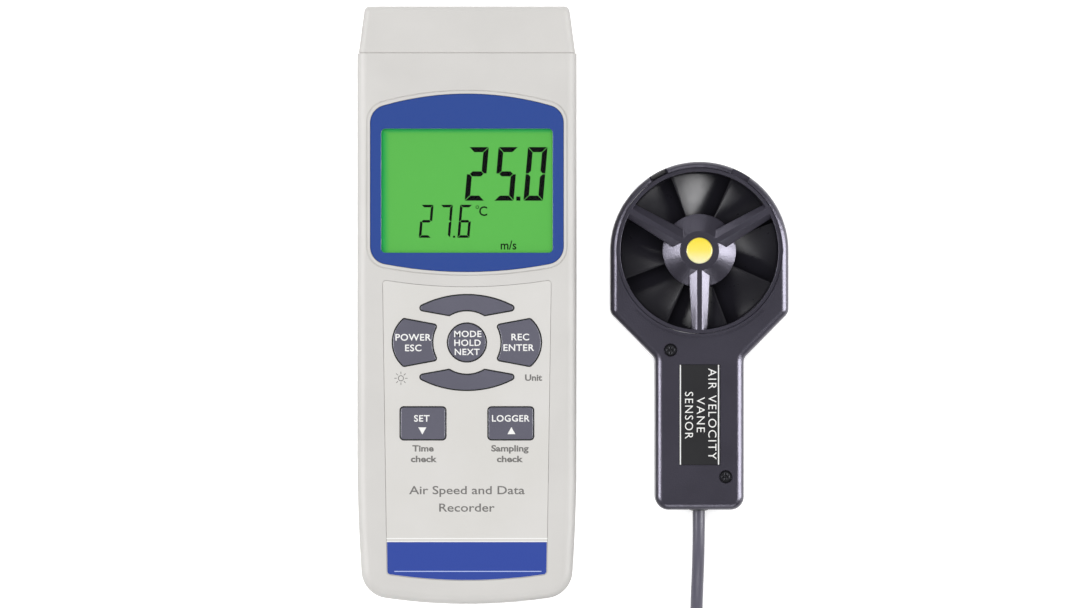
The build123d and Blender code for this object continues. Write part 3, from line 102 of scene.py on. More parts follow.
def make_piece(name, vertices, faces, finish, smooth=True):
    """A mesh object at the origin, with its place in its vertices."""
    mesh = bpy.data.meshes.new(name)
    mesh.from_pydata(np.asarray(vertices).tolist(), [], faces)
    mesh.update()
    mesh.shade_smooth() if smooth else mesh.shade_flat()
    mesh.materials.append(finish)
    piece = bpy.data.objects.new(name, mesh)
    bpy.context.scene.collection.objects.link(piece)
    return piece


# White acrylic that glows a little, so that the shadows on it stay pale.
sweep_half = 6.0
sweep_drop = 0.1 * mm
sweep_paint, sweep_tree, sweep_shader = start_finish(
    "white_lit_acrylic", Base_Color=hex_colour("#FFFFFF"), Roughness=0.9, Emission_Color=hex_colour("#FFFFFF"),
    Emission_Strength=0.45,
)
# The table is clear from below, so that the meter's back can be looked at through it.
sweep_clear = add_node(sweep_tree, "ShaderNodeMixShader", {
    0: add_node(sweep_tree, "ShaderNodeNewGeometry").outputs["Backfacing"], 1: sweep_shader.outputs[0],
    2: add_node(sweep_tree, "ShaderNodeBsdfTransparent").outputs[0],
})
sweep_tree.links.new(sweep_clear.outputs[0], sweep_tree.nodes["Material Output"].inputs["Surface"])
sweep_corners = [(x * sweep_half, y * sweep_half, -sweep_drop) for x, y in ((-1, -1), (1, -1), (1, 1), (-1, 1))]
sweep = make_piece("white_floor", sweep_corners, [(0, 1, 2, 3)], sweep_paint, smooth=False)

room = bpy.data.worlds.new("white_room")
room.use_nodes = True
room.node_tree.nodes["Background"].inputs["Color"].default_value = hex_colour("#FFFFFF")
room.node_tree.nodes["Background"].inputs["Strength"].default_value = 0.30
bpy.context.scene.world = room

for light_name, light_place, light_size, light_power in (
    ("overhead_softbox", (-0.10, 0.15, 3.00), (2.6, 2.6), 88.0),
    ("left_strip", (-1.20, 0.05, 0.74), (0.65, 1.2), 42.0),
    ("right_strip", (1.25, 0.00, 0.74), (0.65, 1.2), 42.0),
    ("end_strip", (-0.20, 1.35, 0.90), (1.2, 0.4), 6.0),
    ("foot_strip", (0.10, -1.35, 0.80), (1.2, 0.4), 9.0),
):
    lamp = bpy.data.lights.new(light_name, "AREA")
    lamp.shape = "RECTANGLE"
    lamp.size, lamp.size_y = light_size
    lamp.energy = light_power
    softbox = bpy.data.objects.new(light_name, lamp)
    # As behind a polariser: flats show no glare of the overhead light, and the strips only draw bright edges.
    softbox.visible_glossy = "strip" in light_name
    softbox.visible_diffuse = "strip" not in light_name
    way = Vector(light_place) - Vector(look_at)
    softbox.location = light_place
    softbox.rotation_euler = way.to_track_quat("Z", "Y").to_euler()
    bpy.context.scene.collection.objects.link(softbox)


# ------------------------------------------------------------------ probe cable
# Round PVC-jacketed cable, 4.2 mm thick: out of the handle's end, down to the table, wound into a flat coil of two
# layers, and on into the plug. It is one smooth line from end to end.
cloud_width = 22.0 * mm
cloud_stops = (0.35, 0.65)  # of the noise, where one tone ends and the other begins
gloss_swing = 0.06


def moulded(name, colour, deep, grain, pit, roughness, **sockets):
    """A surface as it leaves a mould or a lathe. Its colour drifts between two near tones in clouds, and pits of
    depth pit, grain wide, break up the gloss, which they also make a little uneven."""
    finish, tree, shader = start_finish(name, Roughness=roughness, **sockets)
    where = add_node(tree, "ShaderNodeTexCoord").outputs["Object"]
    cloud = add_node(tree, "ShaderNodeTexNoise", {"Vector": where, "Scale": 1 / cloud_width, "Detail": 3.0})
    tone = add_node(tree, "ShaderNodeValToRGB", {"Fac": cloud.outputs["Fac"]})
    for stop, position, code in zip(tone.color_ramp.elements, cloud_stops, (colour, deep)):
        stop.position = position
        stop.color = hex_colour(code)
    tree.links.new(tone.outputs["Color"], shader.inputs["Base Color"])
    pits = add_node(tree, "ShaderNodeTexNoise", {"Vector": where, "Scale": 1 / grain, "Detail": 2.0})
    relief = add_node(tree, "ShaderNodeBump", {"Height": pits.outputs["Fac"], "Distance": pit, "Strength": 1.0})
    tree.links.new(relief.outputs["Normal"], shader.inputs["Normal"])
    gloss = add_node(tree, "ShaderNodeMapRange", {
        "Value": pits.outputs["Fac"], "To Min": roughness - gloss_swing, "To Max": roughness + gloss_swing,
    })
    tree.links.new(gloss.outputs["Result"], shader.inputs["Roughness"])
    return finish


# Soft PVC: satin, slate with a violet cast, faintly rippled by the extruder.
cable_jacket = moulded("soft_pvc_jacket", "#5A5866", "#545260", 0.6 * mm, 0.02 * mm, 0.38, IOR=1.53,
                       Specular_IOR_Level=0.3)

cable_diameter = 4.2 * mm
cable_exit = (79.2 * mm, -70.3 * mm, 13.0 * mm)
coil_middle = (48.9 * mm, -143.0 * mm)
coil_radius = 29.3 * mm
coil_turns_across = 3.5
coil_end_turn = 0.25  # past the last whole turn, to the tail
coil_heights = (2.7 * mm, 6.9 * mm)
coil_climb_turns = 0.4  # from the lower layer to the upper one
points_a_turn = 24
lead_points = np.array([
    cable_exit, (79.2 * mm, -83.5 * mm, 13.0 * mm), (78.6 * mm, -103.0 * mm, 2.2 * mm),
    (78.4 * mm, -123.0 * mm, 2.4 * mm),
])
tail_points = np.array([
    (48.9 * mm, -173.3 * mm, 6.9 * mm), (39.3 * mm, -174.1 * mm, 6.7 * mm), (31.5 * mm, -173.0 * mm, 5.6 * mm),
    (24.0 * mm, -173.0 * mm, 5.6 * mm),
])


def coil_points():
    """The turns, clockwise from the coil's east: the radius falls by a diameter a turn, then grows again one layer
    up. Control points stand 4 / (3 + cos step) out from the line that they give."""
    turns = np.arange(0, (2 * coil_turns_across + coil_end_turn) * points_a_turn) / points_a_turn
    inwards = np.minimum(turns, 2 * coil_turns_across - turns)
    step = 2 * math.pi / points_a_turn
    radius = (coil_radius - cable_diameter * inwards) * 4 / (3 + math.cos(step))
    climb = np.clip((turns - coil_turns_across) / coil_climb_turns + 0.5, 0, 1)
    height = coil_heights[0] + (coil_heights[1] - coil_heights[0]) * climb ** 2 * (3 - 2 * climb)
    angle = -2 * math.pi * turns
    return np.c_[coil_middle[0] + radius * np.cos(angle), coil_middle[1] + radius * np.sin(angle), height]


cable_points = np.vstack([lead_points, coil_points(), tail_points])
cable_line = bpy.data.curves.new("probe_cable", "CURVE")
cable_line.dimensions = "3D"
cable_line.bevel_depth = cable_diameter / 2
cable_line.bevel_resolution = 5
cable_line.resolution_u = 5
cable_line.use_fill_caps = True
cable_line.materials.append(cable_jacket)
spline = cable_line.splines.new("NURBS")
spline.points.add(len(cable_points) - 1)
spline.points.foreach_set("co", np.c_[cable_points, np.ones(len(cable_points))].ravel())
spline.order_u = 3
spline.use_endpoint_u = True
cable = bpy.data.objects.new("probe_cable", cable_line)
bpy.context.scene.collection.objects.link(cable)
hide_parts("cable_lead", "cable_coil", "cable_tail")
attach(cable, "probe")

# ------------------------------------------------------------------ meter case and end cap
# Two injection-moulded ABS shells and an end cap, light warm grey, with a fine spark-eroded grain: satin, with a
# soft roll of light over the rounded edges and a dark line at each joint.
bodies = frame["record"]["behaviour"]["bodies"]
body_of = {node: body for body, nodes in bodies.items() for node in nodes}
weld_distance = 0.0005 * mm
flat_angle = math.radians(0.5)
sharp_angle = math.radians(32)


def place(piece, *nodes):
    """The piece stands for these solids, which it hides, and moves with their body."""
    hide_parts(*nodes)
    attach(piece, body_of[nodes[0]])


def merged_solid(node):
    """A solid's triangles merged into its flat faces, to be freed after use."""
    merged = bmesh.new()
    merged.from_mesh(frame["nodes"][node].data)
    bmesh.ops.remove_doubles(merged, verts=merged.verts, dist=weld_distance)
    bmesh.ops.dissolve_limit(merged, angle_limit=flat_angle, verts=merged.verts, edges=merged.edges)
    return merged


def shade_evenly(piece):
    """Large faces set the normals at their edges, so that flats look flat beside rounded edges."""
    shading = piece.modifiers.new("even_shading", "WEIGHTED_NORMAL")
    shading.keep_sharp = True


def dressed(node, finish, edge):
    """A copy of a solid with its triangles merged, its sharp edges rounded by edge and its faces shaded smooth."""
    merged = merged_solid(node)
    mesh = bpy.data.meshes.new(node + "_moulded")
    merged.to_mesh(mesh)
    merged.free()
    mesh.materials.clear()
    mesh.materials.append(finish)
    mesh.shade_smooth()
    piece = bpy.data.objects.new(node + "_moulded", mesh)
    bpy.context.scene.collection.objects.link(piece)
    rounding = piece.modifiers.new("rounded_edges", "BEVEL")
    rounding.limit_method = "ANGLE"
    rounding.angle_limit = sharp_angle
    rounding.width = edge
    rounding.segments = 2
    rounding.use_clamp_overlap = True
    shade_evenly(piece)
    place(piece, node)


# The grain is drawn 0.45 mm wide, about three times the real one, so that it shows at all.
case_abs = moulded("grained_light_grey_abs", "#D1CFCC", "#CDCBC8", 0.45 * mm, 0.012 * mm, 0.42, IOR=1.52,
                   Specular_IOR_Level=0.12)
for node in ("front_case", "back_case", "top_cap"):
    dressed(node, case_abs, 0.25 * mm)

# ------------------------------------------------------------------ window and display
# The lens is one sheet of clear acrylic, printed blue from behind round the view. Under it lie the liquid crystal
# glass, lit green from behind by its light guide, and the black frame that holds the glass to the board.
# Printed from behind, so the blue lies under a polished surface: deep and even.
acrylic_blue, _, _ = start_finish(
    "back_printed_acrylic", Base_Color=hex_colour("#264590"), Roughness=0.16, IOR=1.49,
)
dressed("window_bezel", acrylic_blue, 0.12 * mm)

# Clear acrylic: the eye sees through it, and it shows itself only as a faint gloss.
pane_gloss_share = 0.015
clear_acrylic, pane_tree, pane_shader = start_finish("clear_acrylic", "ShaderNodeMixShader")
pane_shader.inputs[0].default_value = pane_gloss_share
pane_tree.links.new(add_node(pane_tree, "ShaderNodeBsdfTransparent").outputs[0], pane_shader.inputs[1])
pane_gloss = add_node(pane_tree, "ShaderNodeBsdfGlossy", {"Roughness": 0.04})
pane_tree.links.new(pane_gloss.outputs[0], pane_shader.inputs[2])
dressed("window_pane", clear_acrylic, 0.08 * mm)

# Backlit display: an even yellow-green glow from the backlight, with painted shade: within 3 mm of the left and top
# edges it falls off to a darker, bluer green that stands for the shadow the bezel casts into the recess.
view_low, view_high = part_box("lcd_glass")
view_margin = 0.9 * mm
painted_shade_width = 3.2 * mm
painted_shade_top_width = 0.6 * painted_shade_width
backlit_green, glow_tree, glow_shader = start_finish(
    "backlit_display", Roughness=0.35, Specular_IOR_Level=0.1, Emission_Strength=0.15,
)
glow_place = add_node(glow_tree, "ShaderNodeTexCoord").outputs["Object"]
glow_axes = add_node(glow_tree, "ShaderNodeSeparateXYZ", {"Vector": glow_place})
# Painted shade: how far a point lies in from the left edge and down from the top edge of the view.
shade_from_left = add_node(glow_tree, "ShaderNodeMapRange", {
    "Value": glow_axes.outputs["X"], "From Min": view_low[0] + view_margin,
    "From Max": view_low[0] + view_margin + painted_shade_width,
}, interpolation_type="SMOOTHSTEP")
shade_from_top = add_node(glow_tree, "ShaderNodeMapRange", {
    "Value": glow_axes.outputs["Y"], "From Min": view_high[1] - view_margin,
    "From Max": view_high[1] - view_margin - painted_shade_top_width,
}, interpolation_type="SMOOTHSTEP")
unshaded_share = add_node(glow_tree, "ShaderNodeMath", {0: shade_from_left.outputs[0], 1: shade_from_top.outputs[0]},
                  operation="MINIMUM")
display_green_and_painted_shade = add_node(glow_tree, "ShaderNodeValToRGB", {"Fac": unshaded_share.outputs[0]})
# The painted shade's darker green at the edges, then the lit green.
display_green_and_painted_shade.color_ramp.elements[0].color = hex_colour("#0F9C4C")
display_green_and_painted_shade.color_ramp.elements[1].color = hex_colour("#55AC49")
glow_tree.links.new(display_green_and_painted_shade.outputs["Color"], glow_shader.inputs["Base Color"])
glow_tree.links.new(display_green_and_painted_shade.outputs["Color"], glow_shader.inputs["Emission Color"])
dressed("lcd_glass", backlit_green, 0.1 * mm)

# Plain black ABS, satin, for frames and sockets.
black_abs = moulded("black_abs", "#1C1C1F", "#17171A", 0.4 * mm, 0.01 * mm, 0.4, IOR=1.52)
dressed("lcd_frame", black_abs, 0.15 * mm)

# The light guide is milky acrylic, soft and even.
milky_acrylic = moulded("milky_acrylic", "#EEF2EC", "#E6EBE4", 1.0 * mm, 0.004 * mm, 0.3, IOR=1.49)
dressed("backlight", milky_acrylic, 0.15 * mm)


# ------------------------------------------------------------------ display figures
# The figures are areas of the liquid crystal that shut the light out: flat, without gloss, near black, and a hair
# above the glass. Printed marks elsewhere are as thin.
ink_thickness = 0.02 * mm


def slab(name, outlines, low, high, finish, body):
    """Closed flat slabs between two heights: each outline, taken anticlockwise, is a top face, a bottom face and
    a wall; an outline given as a pair of loops of equal count is a ring between them."""
    vertices, faces = [], []
    for outline in outlines:
        loops = [np.asarray(loop, float) for loop in (outline if isinstance(outline, tuple) else (outline,))]
        count = len(loops[0])
        start = len(vertices)
        for loop in loops:
            for height in (low, high):
                vertices.extend(np.c_[loop, np.full(count, height)].tolist())
        ahead = [(i + 1) % count for i in range(count)]
        if len(loops) == 1:
            faces.append([start + count + i for i in range(count)])
            faces.append([start + i for i in reversed(range(count))])
        for i, j in enumerate(ahead):
            faces.append([start + i, start + j, start + count + j, start + count + i])
            if len(loops) == 2:
                inner = start + 2 * count
                faces.append([inner + j, inner + i, inner + count + i, inner + count + j])
                faces.append([start + count + i, start + count + j, inner + count + j, inner + count + i])
                faces.append([start + j, start + i, inner + i, inner + j])
    piece = make_piece(name, vertices, faces, finish, smooth=False)
    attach(piece, body)


def segment_outlines(lit, width, height, stroke, gap):
    """Outlines of the lit bars of a seven-bar figure, named a to g clockwise from the top with g in the middle:
    bars are stroke wide, end in mitres, and stand gap apart."""
    half = height / 2
    lie = [(gap, 0), (width - gap, 0), (width - gap - stroke, stroke), (gap + stroke, stroke)]
    bottom = np.array(lie)
    top = np.array([(x, height - y) for x, y in lie])[::-1]
    middle = np.array([
        (gap + stroke / 2, half), (gap + stroke, half - stroke / 2), (width - gap - stroke, half - stroke / 2),
        (width - gap - stroke / 2, half), (width - gap - stroke, half + stroke / 2),
        (gap + stroke, half + stroke / 2),
    ])
    stand = np.array([
        (0, gap), (stroke, gap + stroke), (stroke, half - gap - stroke / 2), (stroke / 2, half - gap),
        (0, half - gap),
    ])
    mirrored = np.array([(width, 0)]) + stand[::-1] * (-1, 1)
    bars = {
        "a": top, "d": bottom, "g": middle, "e": stand, "c": mirrored,
        "f": np.array([(0, height)]) + stand[::-1] * (1, -1),
        "b": np.array([(width, height)]) - stand,
    }
    return [bars[letter] for letter in lit]


lit_bars = {"0": "abcdef", "2": "abged", "5": "afgcd", "6": "afgedc", "7": "abc"}
bar_ink, _, _ = start_finish("dark_liquid_crystal", Base_Color=hex_colour("#030504"), Roughness=0.6,
                             Specular_IOR_Level=0.0)
glass_top = view_high[2]
lean = 0.086
dot_share = 0.82  # of a bar's width
# Sizes and places in millimetres.
figures = []
for text, left, bottom, pitch, width, height, stroke, gap, dot in (
    ("250", -0.8, 35.5, 9.98, 6.65, 18.2, 1.72, 0.14, 16.75),
    ("276", -16.4, 22.9, 6.56, 4.1, 11.2, 0.86, 0.09, -4.75),
):
    for number, figure in enumerate(text):
        for outline in segment_outlines(lit_bars[figure], width, height, stroke, gap):
            outline = outline + (outline[:, 1:] * lean) * (1, 0)
            figures.append((outline + (left + pitch * number, bottom)) * mm)
    dot_side = dot_share * stroke
    figures.append(np.array([(0, 0), (dot_side, 0), (dot_side, dot_side), (0, dot_side)]) * mm
                   + (dot * mm, bottom * mm))
around = np.linspace(0, 2 * math.pi, 24, endpoint=False)
circle = np.c_[np.cos(around), np.sin(around)]
degree_place = (3.5 * mm, 33.3 * mm)
degree_outer, degree_inner = 0.58 * mm, 0.36 * mm
figures.append((circle * degree_outer + degree_place, circle * degree_inner + degree_place))
slab("display_figures", figures, glass_top, glass_top + ink_thickness, bar_ink, "meter")
capital_share = 0.682  # of the font's size, a capital's height


def lettering(name, text, capital, middle, height, finish, body, bold=0.0, turn=0.0, stretch=1.0, width=None,
              apart=1.0):
    """Flat lettering, capital high, centred on middle, turned about its centre, and made a thin closed mesh. It is
    stretched sideways by a factor, or to a width where one is given."""
    words = bpy.data.curves.new(name, "FONT")
    words.body = text
    words.align_x = "CENTER"
    words.offset = bold
    words.extrude = 0.01
    words.resolution_u = 4
    words.space_character = apart
    made = bpy.data.objects.new(name + "_text", words)
    bpy.context.scene.collection.objects.link(made)
    mesh = bpy.data.meshes.new_from_object(made.evaluated_get(bpy.context.evaluated_depsgraph_get()))
    bpy.data.objects.remove(made)
    flat = np.empty(3 * len(mesh.vertices))
    mesh.vertices.foreach_get("co", flat)
    flat = flat.reshape(-1, 3)
    flat[:, :2] -= (flat[:, :2].min(axis=0) + flat[:, :2].max(axis=0)) / 2
    if width:
        stretch = width / np.ptp(flat[:, 0]) / (capital / capital_share)
    flat[:, :2] *= (capital / capital_share * stretch, capital / capital_share)
    flat[:, 2] = height + np.where(flat[:, 2] > 0, ink_thickness, 0)
    turned = flat[:, :2] @ np.array([[math.cos(turn), math.sin(turn)], [-math.sin(turn), math.cos(turn)]])
    flat[:, :2] = turned + middle
    mesh.vertices.foreach_set("co", flat.ravel())
    mesh.update()
    mesh.materials.clear()
    mesh.materials.append(finish)
    piece = bpy.data.objects.new(name, mesh)
    bpy.context.scene.collection.objects.link(piece)
    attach(piece, body)


lettering("display_celsius", "C", 3.1 * mm, (5.5 * mm, 31.95 * mm), glass_top, bar_ink, "meter",
          bold=0.012, stretch=0.95)
lettering("display_speed_unit", "m/s", 2.9 * mm, (14.1 * mm, 20.4 * mm), glass_top, bar_ink, "meter",
          bold=0.012, stretch=0.92)

# ------------------------------------------------------------------ keypad overlay
# A satin polyester film over the case, printed from behind: pale grey, and a blue band with rules at its foot.
# Round the keys lie dark rings of painted shade, for the shadow in their gaps. Its own cut edge catches a thin line
# of light.
overlay_film = moulded("satin_printed_film", "#D5D3D0", "#D2D0CC", 0.35 * mm, 0.006 * mm, 0.36, IOR=1.5,
                       Specular_IOR_Level=0.25)
dressed("keypad_overlay", overlay_film, 0.12 * mm)
level_room = 0.002 * mm
level_normal = 0.999


def level_loops(node, height):
    """The closed loops that a solid's merged edges make at one height, widest first, each in order,
    anticlockwise."""
    merged = merged_solid(node)
    level = {v for v in merged.verts if abs(v.co.z - height) < level_room}
    rims = [e for e in merged.edges if e.verts[0] in level and e.verts[1] in level
            and any(abs(f.normal.z) < level_normal for f in e.link_faces)]
    following = {}
    for e in rims:
        for a, b in (e.verts, reversed(e.verts)):
            following.setdefault(a, []).append(b)
    loops, used = [], set()
    for first in following:
        if first in used:
            continue
        loop = [first]
        used.add(first)
        ahead = [v for v in following[first] if v not in used]
        while ahead:
            loop.append(ahead[0])
            used.add(ahead[0])
            ahead = [v for v in following[ahead[0]] if v not in used]
        loops.append(np.array([v.co.to_2d()[:] for v in loop]))
    merged.free()
    turned = []
    for loop in loops:
        after = np.roll(loop, -1, axis=0)
        area = np.sum(loop[:, 0] * after[:, 1] - after[:, 0] * loop[:, 1])
        turned.append(loop if area > 0 else loop[::-1])
    return sorted(turned, key=lambda loop: -np.ptp(loop, axis=0).prod())


def grown(loop, distance):
    """The loop moved out by distance: each point goes along the mean of its two edges' normals, over the cosine of
    half their turn."""
    edge = np.roll(loop, -1, axis=0) - loop
    normal = np.c_[edge[:, 1], -edge[:, 0]] / np.linalg.norm(edge, axis=1)[:, None]
    before = np.roll(normal, 1, axis=0)
    mitre = (normal + before) / (1 + np.sum(normal * before, axis=1))[:, None]
    return loop + mitre * distance


def cut_below(loop, level):
    """The part of a loop below one Y level, closed along that level."""
    after = np.roll(loop, -1, axis=0)
    kept = []
    for here, there in zip(loop, after):
        if here[1] <= level:
            kept.append(here)
        if (here[1] - level) * (there[1] - level) < 0:
            kept.append(here + (there - here) * (level - here[1]) / (there[1] - here[1]))
    return np.array(kept)


def rule(left, right, low, high):
    """A printed bar between two X and two Y values."""
    return np.array([(left, low), (right, low), (right, high), (left, high)])


overlay_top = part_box("keypad_overlay")[1][2]
print_high = overlay_top + ink_thickness
film_edge = level_loops("keypad_overlay", overlay_top)[0]
band_top = -80.4 * mm
band_set_back = 0.15 * mm
# Screen inks: flat, even colour with the film's own satin.
band_ink, _, _ = start_finish("blue_screen_ink", Base_Color=hex_colour("#163A97"), Roughness=0.34, IOR=1.5)
white_ink, _, _ = start_finish("white_screen_ink", Base_Color=hex_colour("#EDEDEB"), Roughness=0.4, IOR=1.5)
pale_ink, _, _ = start_finish("pale_blue_screen_ink", Base_Color=hex_colour("#B9C8EC"), Roughness=0.4, IOR=1.5)
grey_ink, _, _ = start_finish("grey_screen_ink", Base_Color=hex_colour("#6A6866"), Roughness=0.45, IOR=1.5)
# Painted shade: a near-black ink for the rings round the keys, standing for the shadow in their gaps.
gap_shade_ink, _, _ = start_finish("painted_gap_shade", Base_Color=hex_colour("#141416"), Roughness=0.4, IOR=1.5)
slab("overlay_blue_band", [cut_below(grown(film_edge, -band_set_back), band_top)], overlay_top, print_high,
     band_ink, "meter")
slab("overlay_white_rules", [
    rule(-27.3 * mm, 27.3 * mm, -80.3 * mm, -80.05 * mm), rule(-27.4 * mm, 27.4 * mm, -79.35 * mm, -79.0 * mm),
], overlay_top, print_high, white_ink, "meter")
slab("overlay_band_rule", [rule(-24.6 * mm, 25.3 * mm, -90.45 * mm, -90.2 * mm)], print_high,
     print_high + ink_thickness, pale_ink, "meter")

# The lamp mark: a small ring with eight rays.
lamp_middle = np.array([(-22.4 * mm, -24.8 * mm)])
lamp_outer, lamp_inner = 1.0 * mm, 0.75 * mm
ray_count = 8
ray_start, ray_end, ray_half_width = 1.4 * mm, 2.25 * mm, 0.11 * mm
lamp_marks = [(circle * lamp_outer + lamp_middle, circle * lamp_inner + lamp_middle)]
for ray in range(ray_count):
    turn = ray * 2 * math.pi / ray_count
    along, across = np.array([(math.cos(turn), math.sin(turn)), (-math.sin(turn), math.cos(turn))])
    bar = rule(ray_start, ray_end, -ray_half_width, ray_half_width)
    lamp_marks.append(bar[:, :1] * along + bar[:, 1:] * across + lamp_middle)
slab("overlay_lamp_mark", lamp_marks, overlay_top, print_high, grey_ink, "meter")

# Words under the keys and the title, capitals and places in millimetres.
for name, text, capital, middle, bold, stretch in (
    ("overlay_unit", "Unit", 2.0, (22.6, -24.6), 0.032, 1.12),
    ("overlay_clock", "Time", 2.0, (-14.9, -48.6), 0.032, 1.18),
    ("overlay_clock_2", "check", 2.0, (-14.6, -52.2), 0.032, 1.25),
    ("overlay_interval", "Sampling", 2.0, (14.6, -48.9), 0.032, 1.22),
    ("overlay_interval_2", "check", 2.0, (14.6, -52.2), 0.032, 1.25),
    ("overlay_title", "Air Speed and Data", 2.7, (0.0, -63.2), 0.01, 1.25),
    ("overlay_title_2", "Recorder", 2.7, (0.0, -68.7), 0.01, 1.25),
):
    lettering(name, text, capital * mm, (middle[0] * mm, middle[1] * mm), overlay_top, grey_ink, "meter",
              bold=bold, stretch=stretch)

# ------------------------------------------------------------------ keys
# Seven moulded keys in slate grey, each in its own hole with a black ring round it, painted shade for the shadow in
# the gap. Their edges are rolled over, and their legends are printed in white on the flat. The ABS is satin, so the
# flats stay even.
key_plastic = moulded("slate_satin_abs", "#555463", "#504F5E", 0.4 * mm, 0.01 * mm, 0.42, IOR=1.5)
key_roll = 0.4 * mm
key_foot = 34.0 * mm
key_names = ("hold_key", "power_key", "record_key", "upper_key", "lower_key", "set_key", "logger_key")
key_top_radius = 0.3 * mm
# Each key's ring of painted shade lies from 0.1 to 0.44 mm outside its outline.
shade_ring_inner, shade_ring_outer = 0.10 * mm, 0.44 * mm


def keycap(name, outline, foot, top, roll, finish):
    """A keycap: its outline carried up its wall and in over a quarter ellipse, roll wide and half as high."""
    angle = np.linspace(0, math.pi / 2, 7)
    inset = np.concatenate([[0, 0], roll * (1 - np.cos(angle[1:]))])
    height = np.concatenate([[foot, top - roll / 2], top - roll / 2 + roll / 2 * np.sin(angle[1:])])
    rings = [np.c_[grown(outline, -d), np.full(len(outline), z)] for d, z in zip(inset, height)]
    count = len(outline)
    row = np.arange(len(rings) - 1)[:, None] * count
    here, ahead = np.arange(count), (np.arange(count) + 1) % count
    wall = np.stack([row + here, row + ahead, row + count + ahead, row + count + here], axis=-1).reshape(-1, 4)
    lid = (len(rings) - 1) * count + here
    piece = make_piece(name, np.vstack(rings), wall.tolist() + [lid.tolist(), here[::-1].tolist()], finish)
    shade_evenly(piece)
    return piece


key_shade_rings = []
for key_name in key_names:
    key_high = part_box(key_name)[1][2]
    key_outline = level_loops(key_name, key_high - key_top_radius)[0]
    cap = keycap(key_name + "_cap", key_outline, key_foot, key_high, key_roll, key_plastic)
    place(cap, key_name)
    key_shade_rings.append((grown(key_outline, shade_ring_outer), grown(key_outline, shade_ring_inner)))
# The rings of painted shade round the keys, a hair above the film.
slab("overlay_key_shade_rings", key_shade_rings, overlay_top, print_high, gap_shade_ink, "meter")

for key_name, text, capital, middle, bold, stretch in (
    ("power_key", "POWER", 2.15, (-18.2, -10.9), 0.016, 1.06),
    ("power_key", "ESC", 2.15, (-18.2, -14.5), 0.016, 1.06),
    ("hold_key", "MODE", 2.05, (0.3, -9.75), 0.016, 1.06),
    ("hold_key", "HOLD", 2.05, (0.2, -12.75), 0.016, 1.06),
    ("hold_key", "NEXT", 2.05, (0.1, -15.85), 0.016, 1.06),
    ("record_key", "REC", 2.15, (18.1, -10.8), 0.016, 1.06),
    ("record_key", "ENTER", 2.15, (17.6, -14.4), 0.016, 1.06),
    ("set_key", "SET", 2.1, (-15.3, -38.4), 0.016, 1.06),
    ("logger_key", "LOGGER", 2.1, (14.9, -38.4), 0.016, 1.02),
):
    lettering(key_name + "_" + text.lower(), text, capital * mm, (middle[0] * mm, middle[1] * mm),
              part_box(key_name)[1][2], white_ink, key_name, bold=bold, stretch=stretch, apart=1.08)
for key_name, way, middle in (("set_key", -1, (-15.1, -42.6)), ("logger_key", 1, (15.1, -42.6))):
    arrow = np.array([(-1.35, -1.15), (1.35, -1.15), (0, 1.25)]) * (way, way) + middle
    arrow_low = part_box(key_name)[1][2]
    slab(key_name + "_arrow", [arrow * mm], arrow_low, arrow_low + ink_thickness, white_ink, key_name)


# ------------------------------------------------------------------ screws
# Black-oxide steel screws with a cross recess: four long ones up through the back shell, two in the battery cover
# and two in the probe's handle. The oxide is dull, and its worn edges show a little metal.
head_face = 0.98  # of the head's radius, out to the rim
rim_height = 0.7  # of the head's height, where its upright side ends
dome_fall = 0.22  # of the head's height, from its middle to its rim
slot_half_width, slot_reach = 0.17, 0.62  # of the head's radius
slot_depth = 0.55  # of the head's height
slot_slope = 0.25  # of the slot's half width


def cross_screw(middle, seat, head, tip, head_radius, shank_radius, way):
    """One screw about a vertical line: a ring of points for each station of its profile, from the cross recess in
    its domed head round to its tip. The dome falls as the square of the radius, and the recess is cut from it
    wherever a point lies within either slot. way is 1 where the head looks up and -1 where it looks down."""
    stations, rounds = 26, 72
    share = np.linspace(0, 1, stations)
    angle = np.linspace(0, 2 * math.pi, rounds, endpoint=False)
    thickness = abs(head - seat)
    radius = share[:, None] * head_radius * head_face + 0 * angle
    across, along = radius * np.cos(angle), radius * np.sin(angle)
    half_slot = slot_half_width * head_radius
    reach = slot_reach * head_radius
    slope = slot_slope * half_slot
    cut_x = np.clip((half_slot - abs(across)) / slope + 0.5, 0, 1) * (abs(along) < reach)
    cut_y = np.clip((half_slot - abs(along)) / slope + 0.5, 0, 1) * (abs(across) < reach)
    dome = dome_fall * thickness * (radius / head_radius) ** 2
    depth = thickness - dome - np.maximum(cut_x, cut_y) * slot_depth * thickness
    rings = [np.stack([across, along, depth], axis=-1)]
    for ring_radius, ring_depth in (
        (head_radius, rim_height * thickness), (head_radius, 0), (shank_radius, 0),
        (shank_radius, -abs(tip - seat)),
    ):
        rings.append(np.stack([
            ring_radius * np.cos(angle), ring_radius * np.sin(angle), np.full(rounds, ring_depth),
        ], axis=-1)[None])
    grid = np.concatenate(rings)
    grid[..., 2] = seat + way * grid[..., 2]
    grid[..., :2] += middle
    if way > 0:
        grid = grid[::-1]
    count = len(grid)
    row = np.arange(count - 1)[:, None] * rounds
    here, ahead = np.arange(rounds), (np.arange(rounds) + 1) % rounds
    faces = np.stack([row + here, row + ahead, row + rounds + ahead, row + rounds + here], axis=-1).reshape(-1, 4)
    ends = [here[::-1], (count - 1) * rounds + here]
    return grid.reshape(-1, 3), faces.tolist() + [end.tolist() for end in ends]


def tidy_mesh(piece):
    """Merges doubles, as at a pole, and turns every face outwards."""
    merged = bmesh.new()
    merged.from_mesh(piece.data)
    bmesh.ops.remove_doubles(merged, verts=merged.verts, dist=weld_distance)
    bmesh.ops.recalc_face_normals(merged, faces=merged.faces)
    merged.to_mesh(piece.data)
    merged.free()


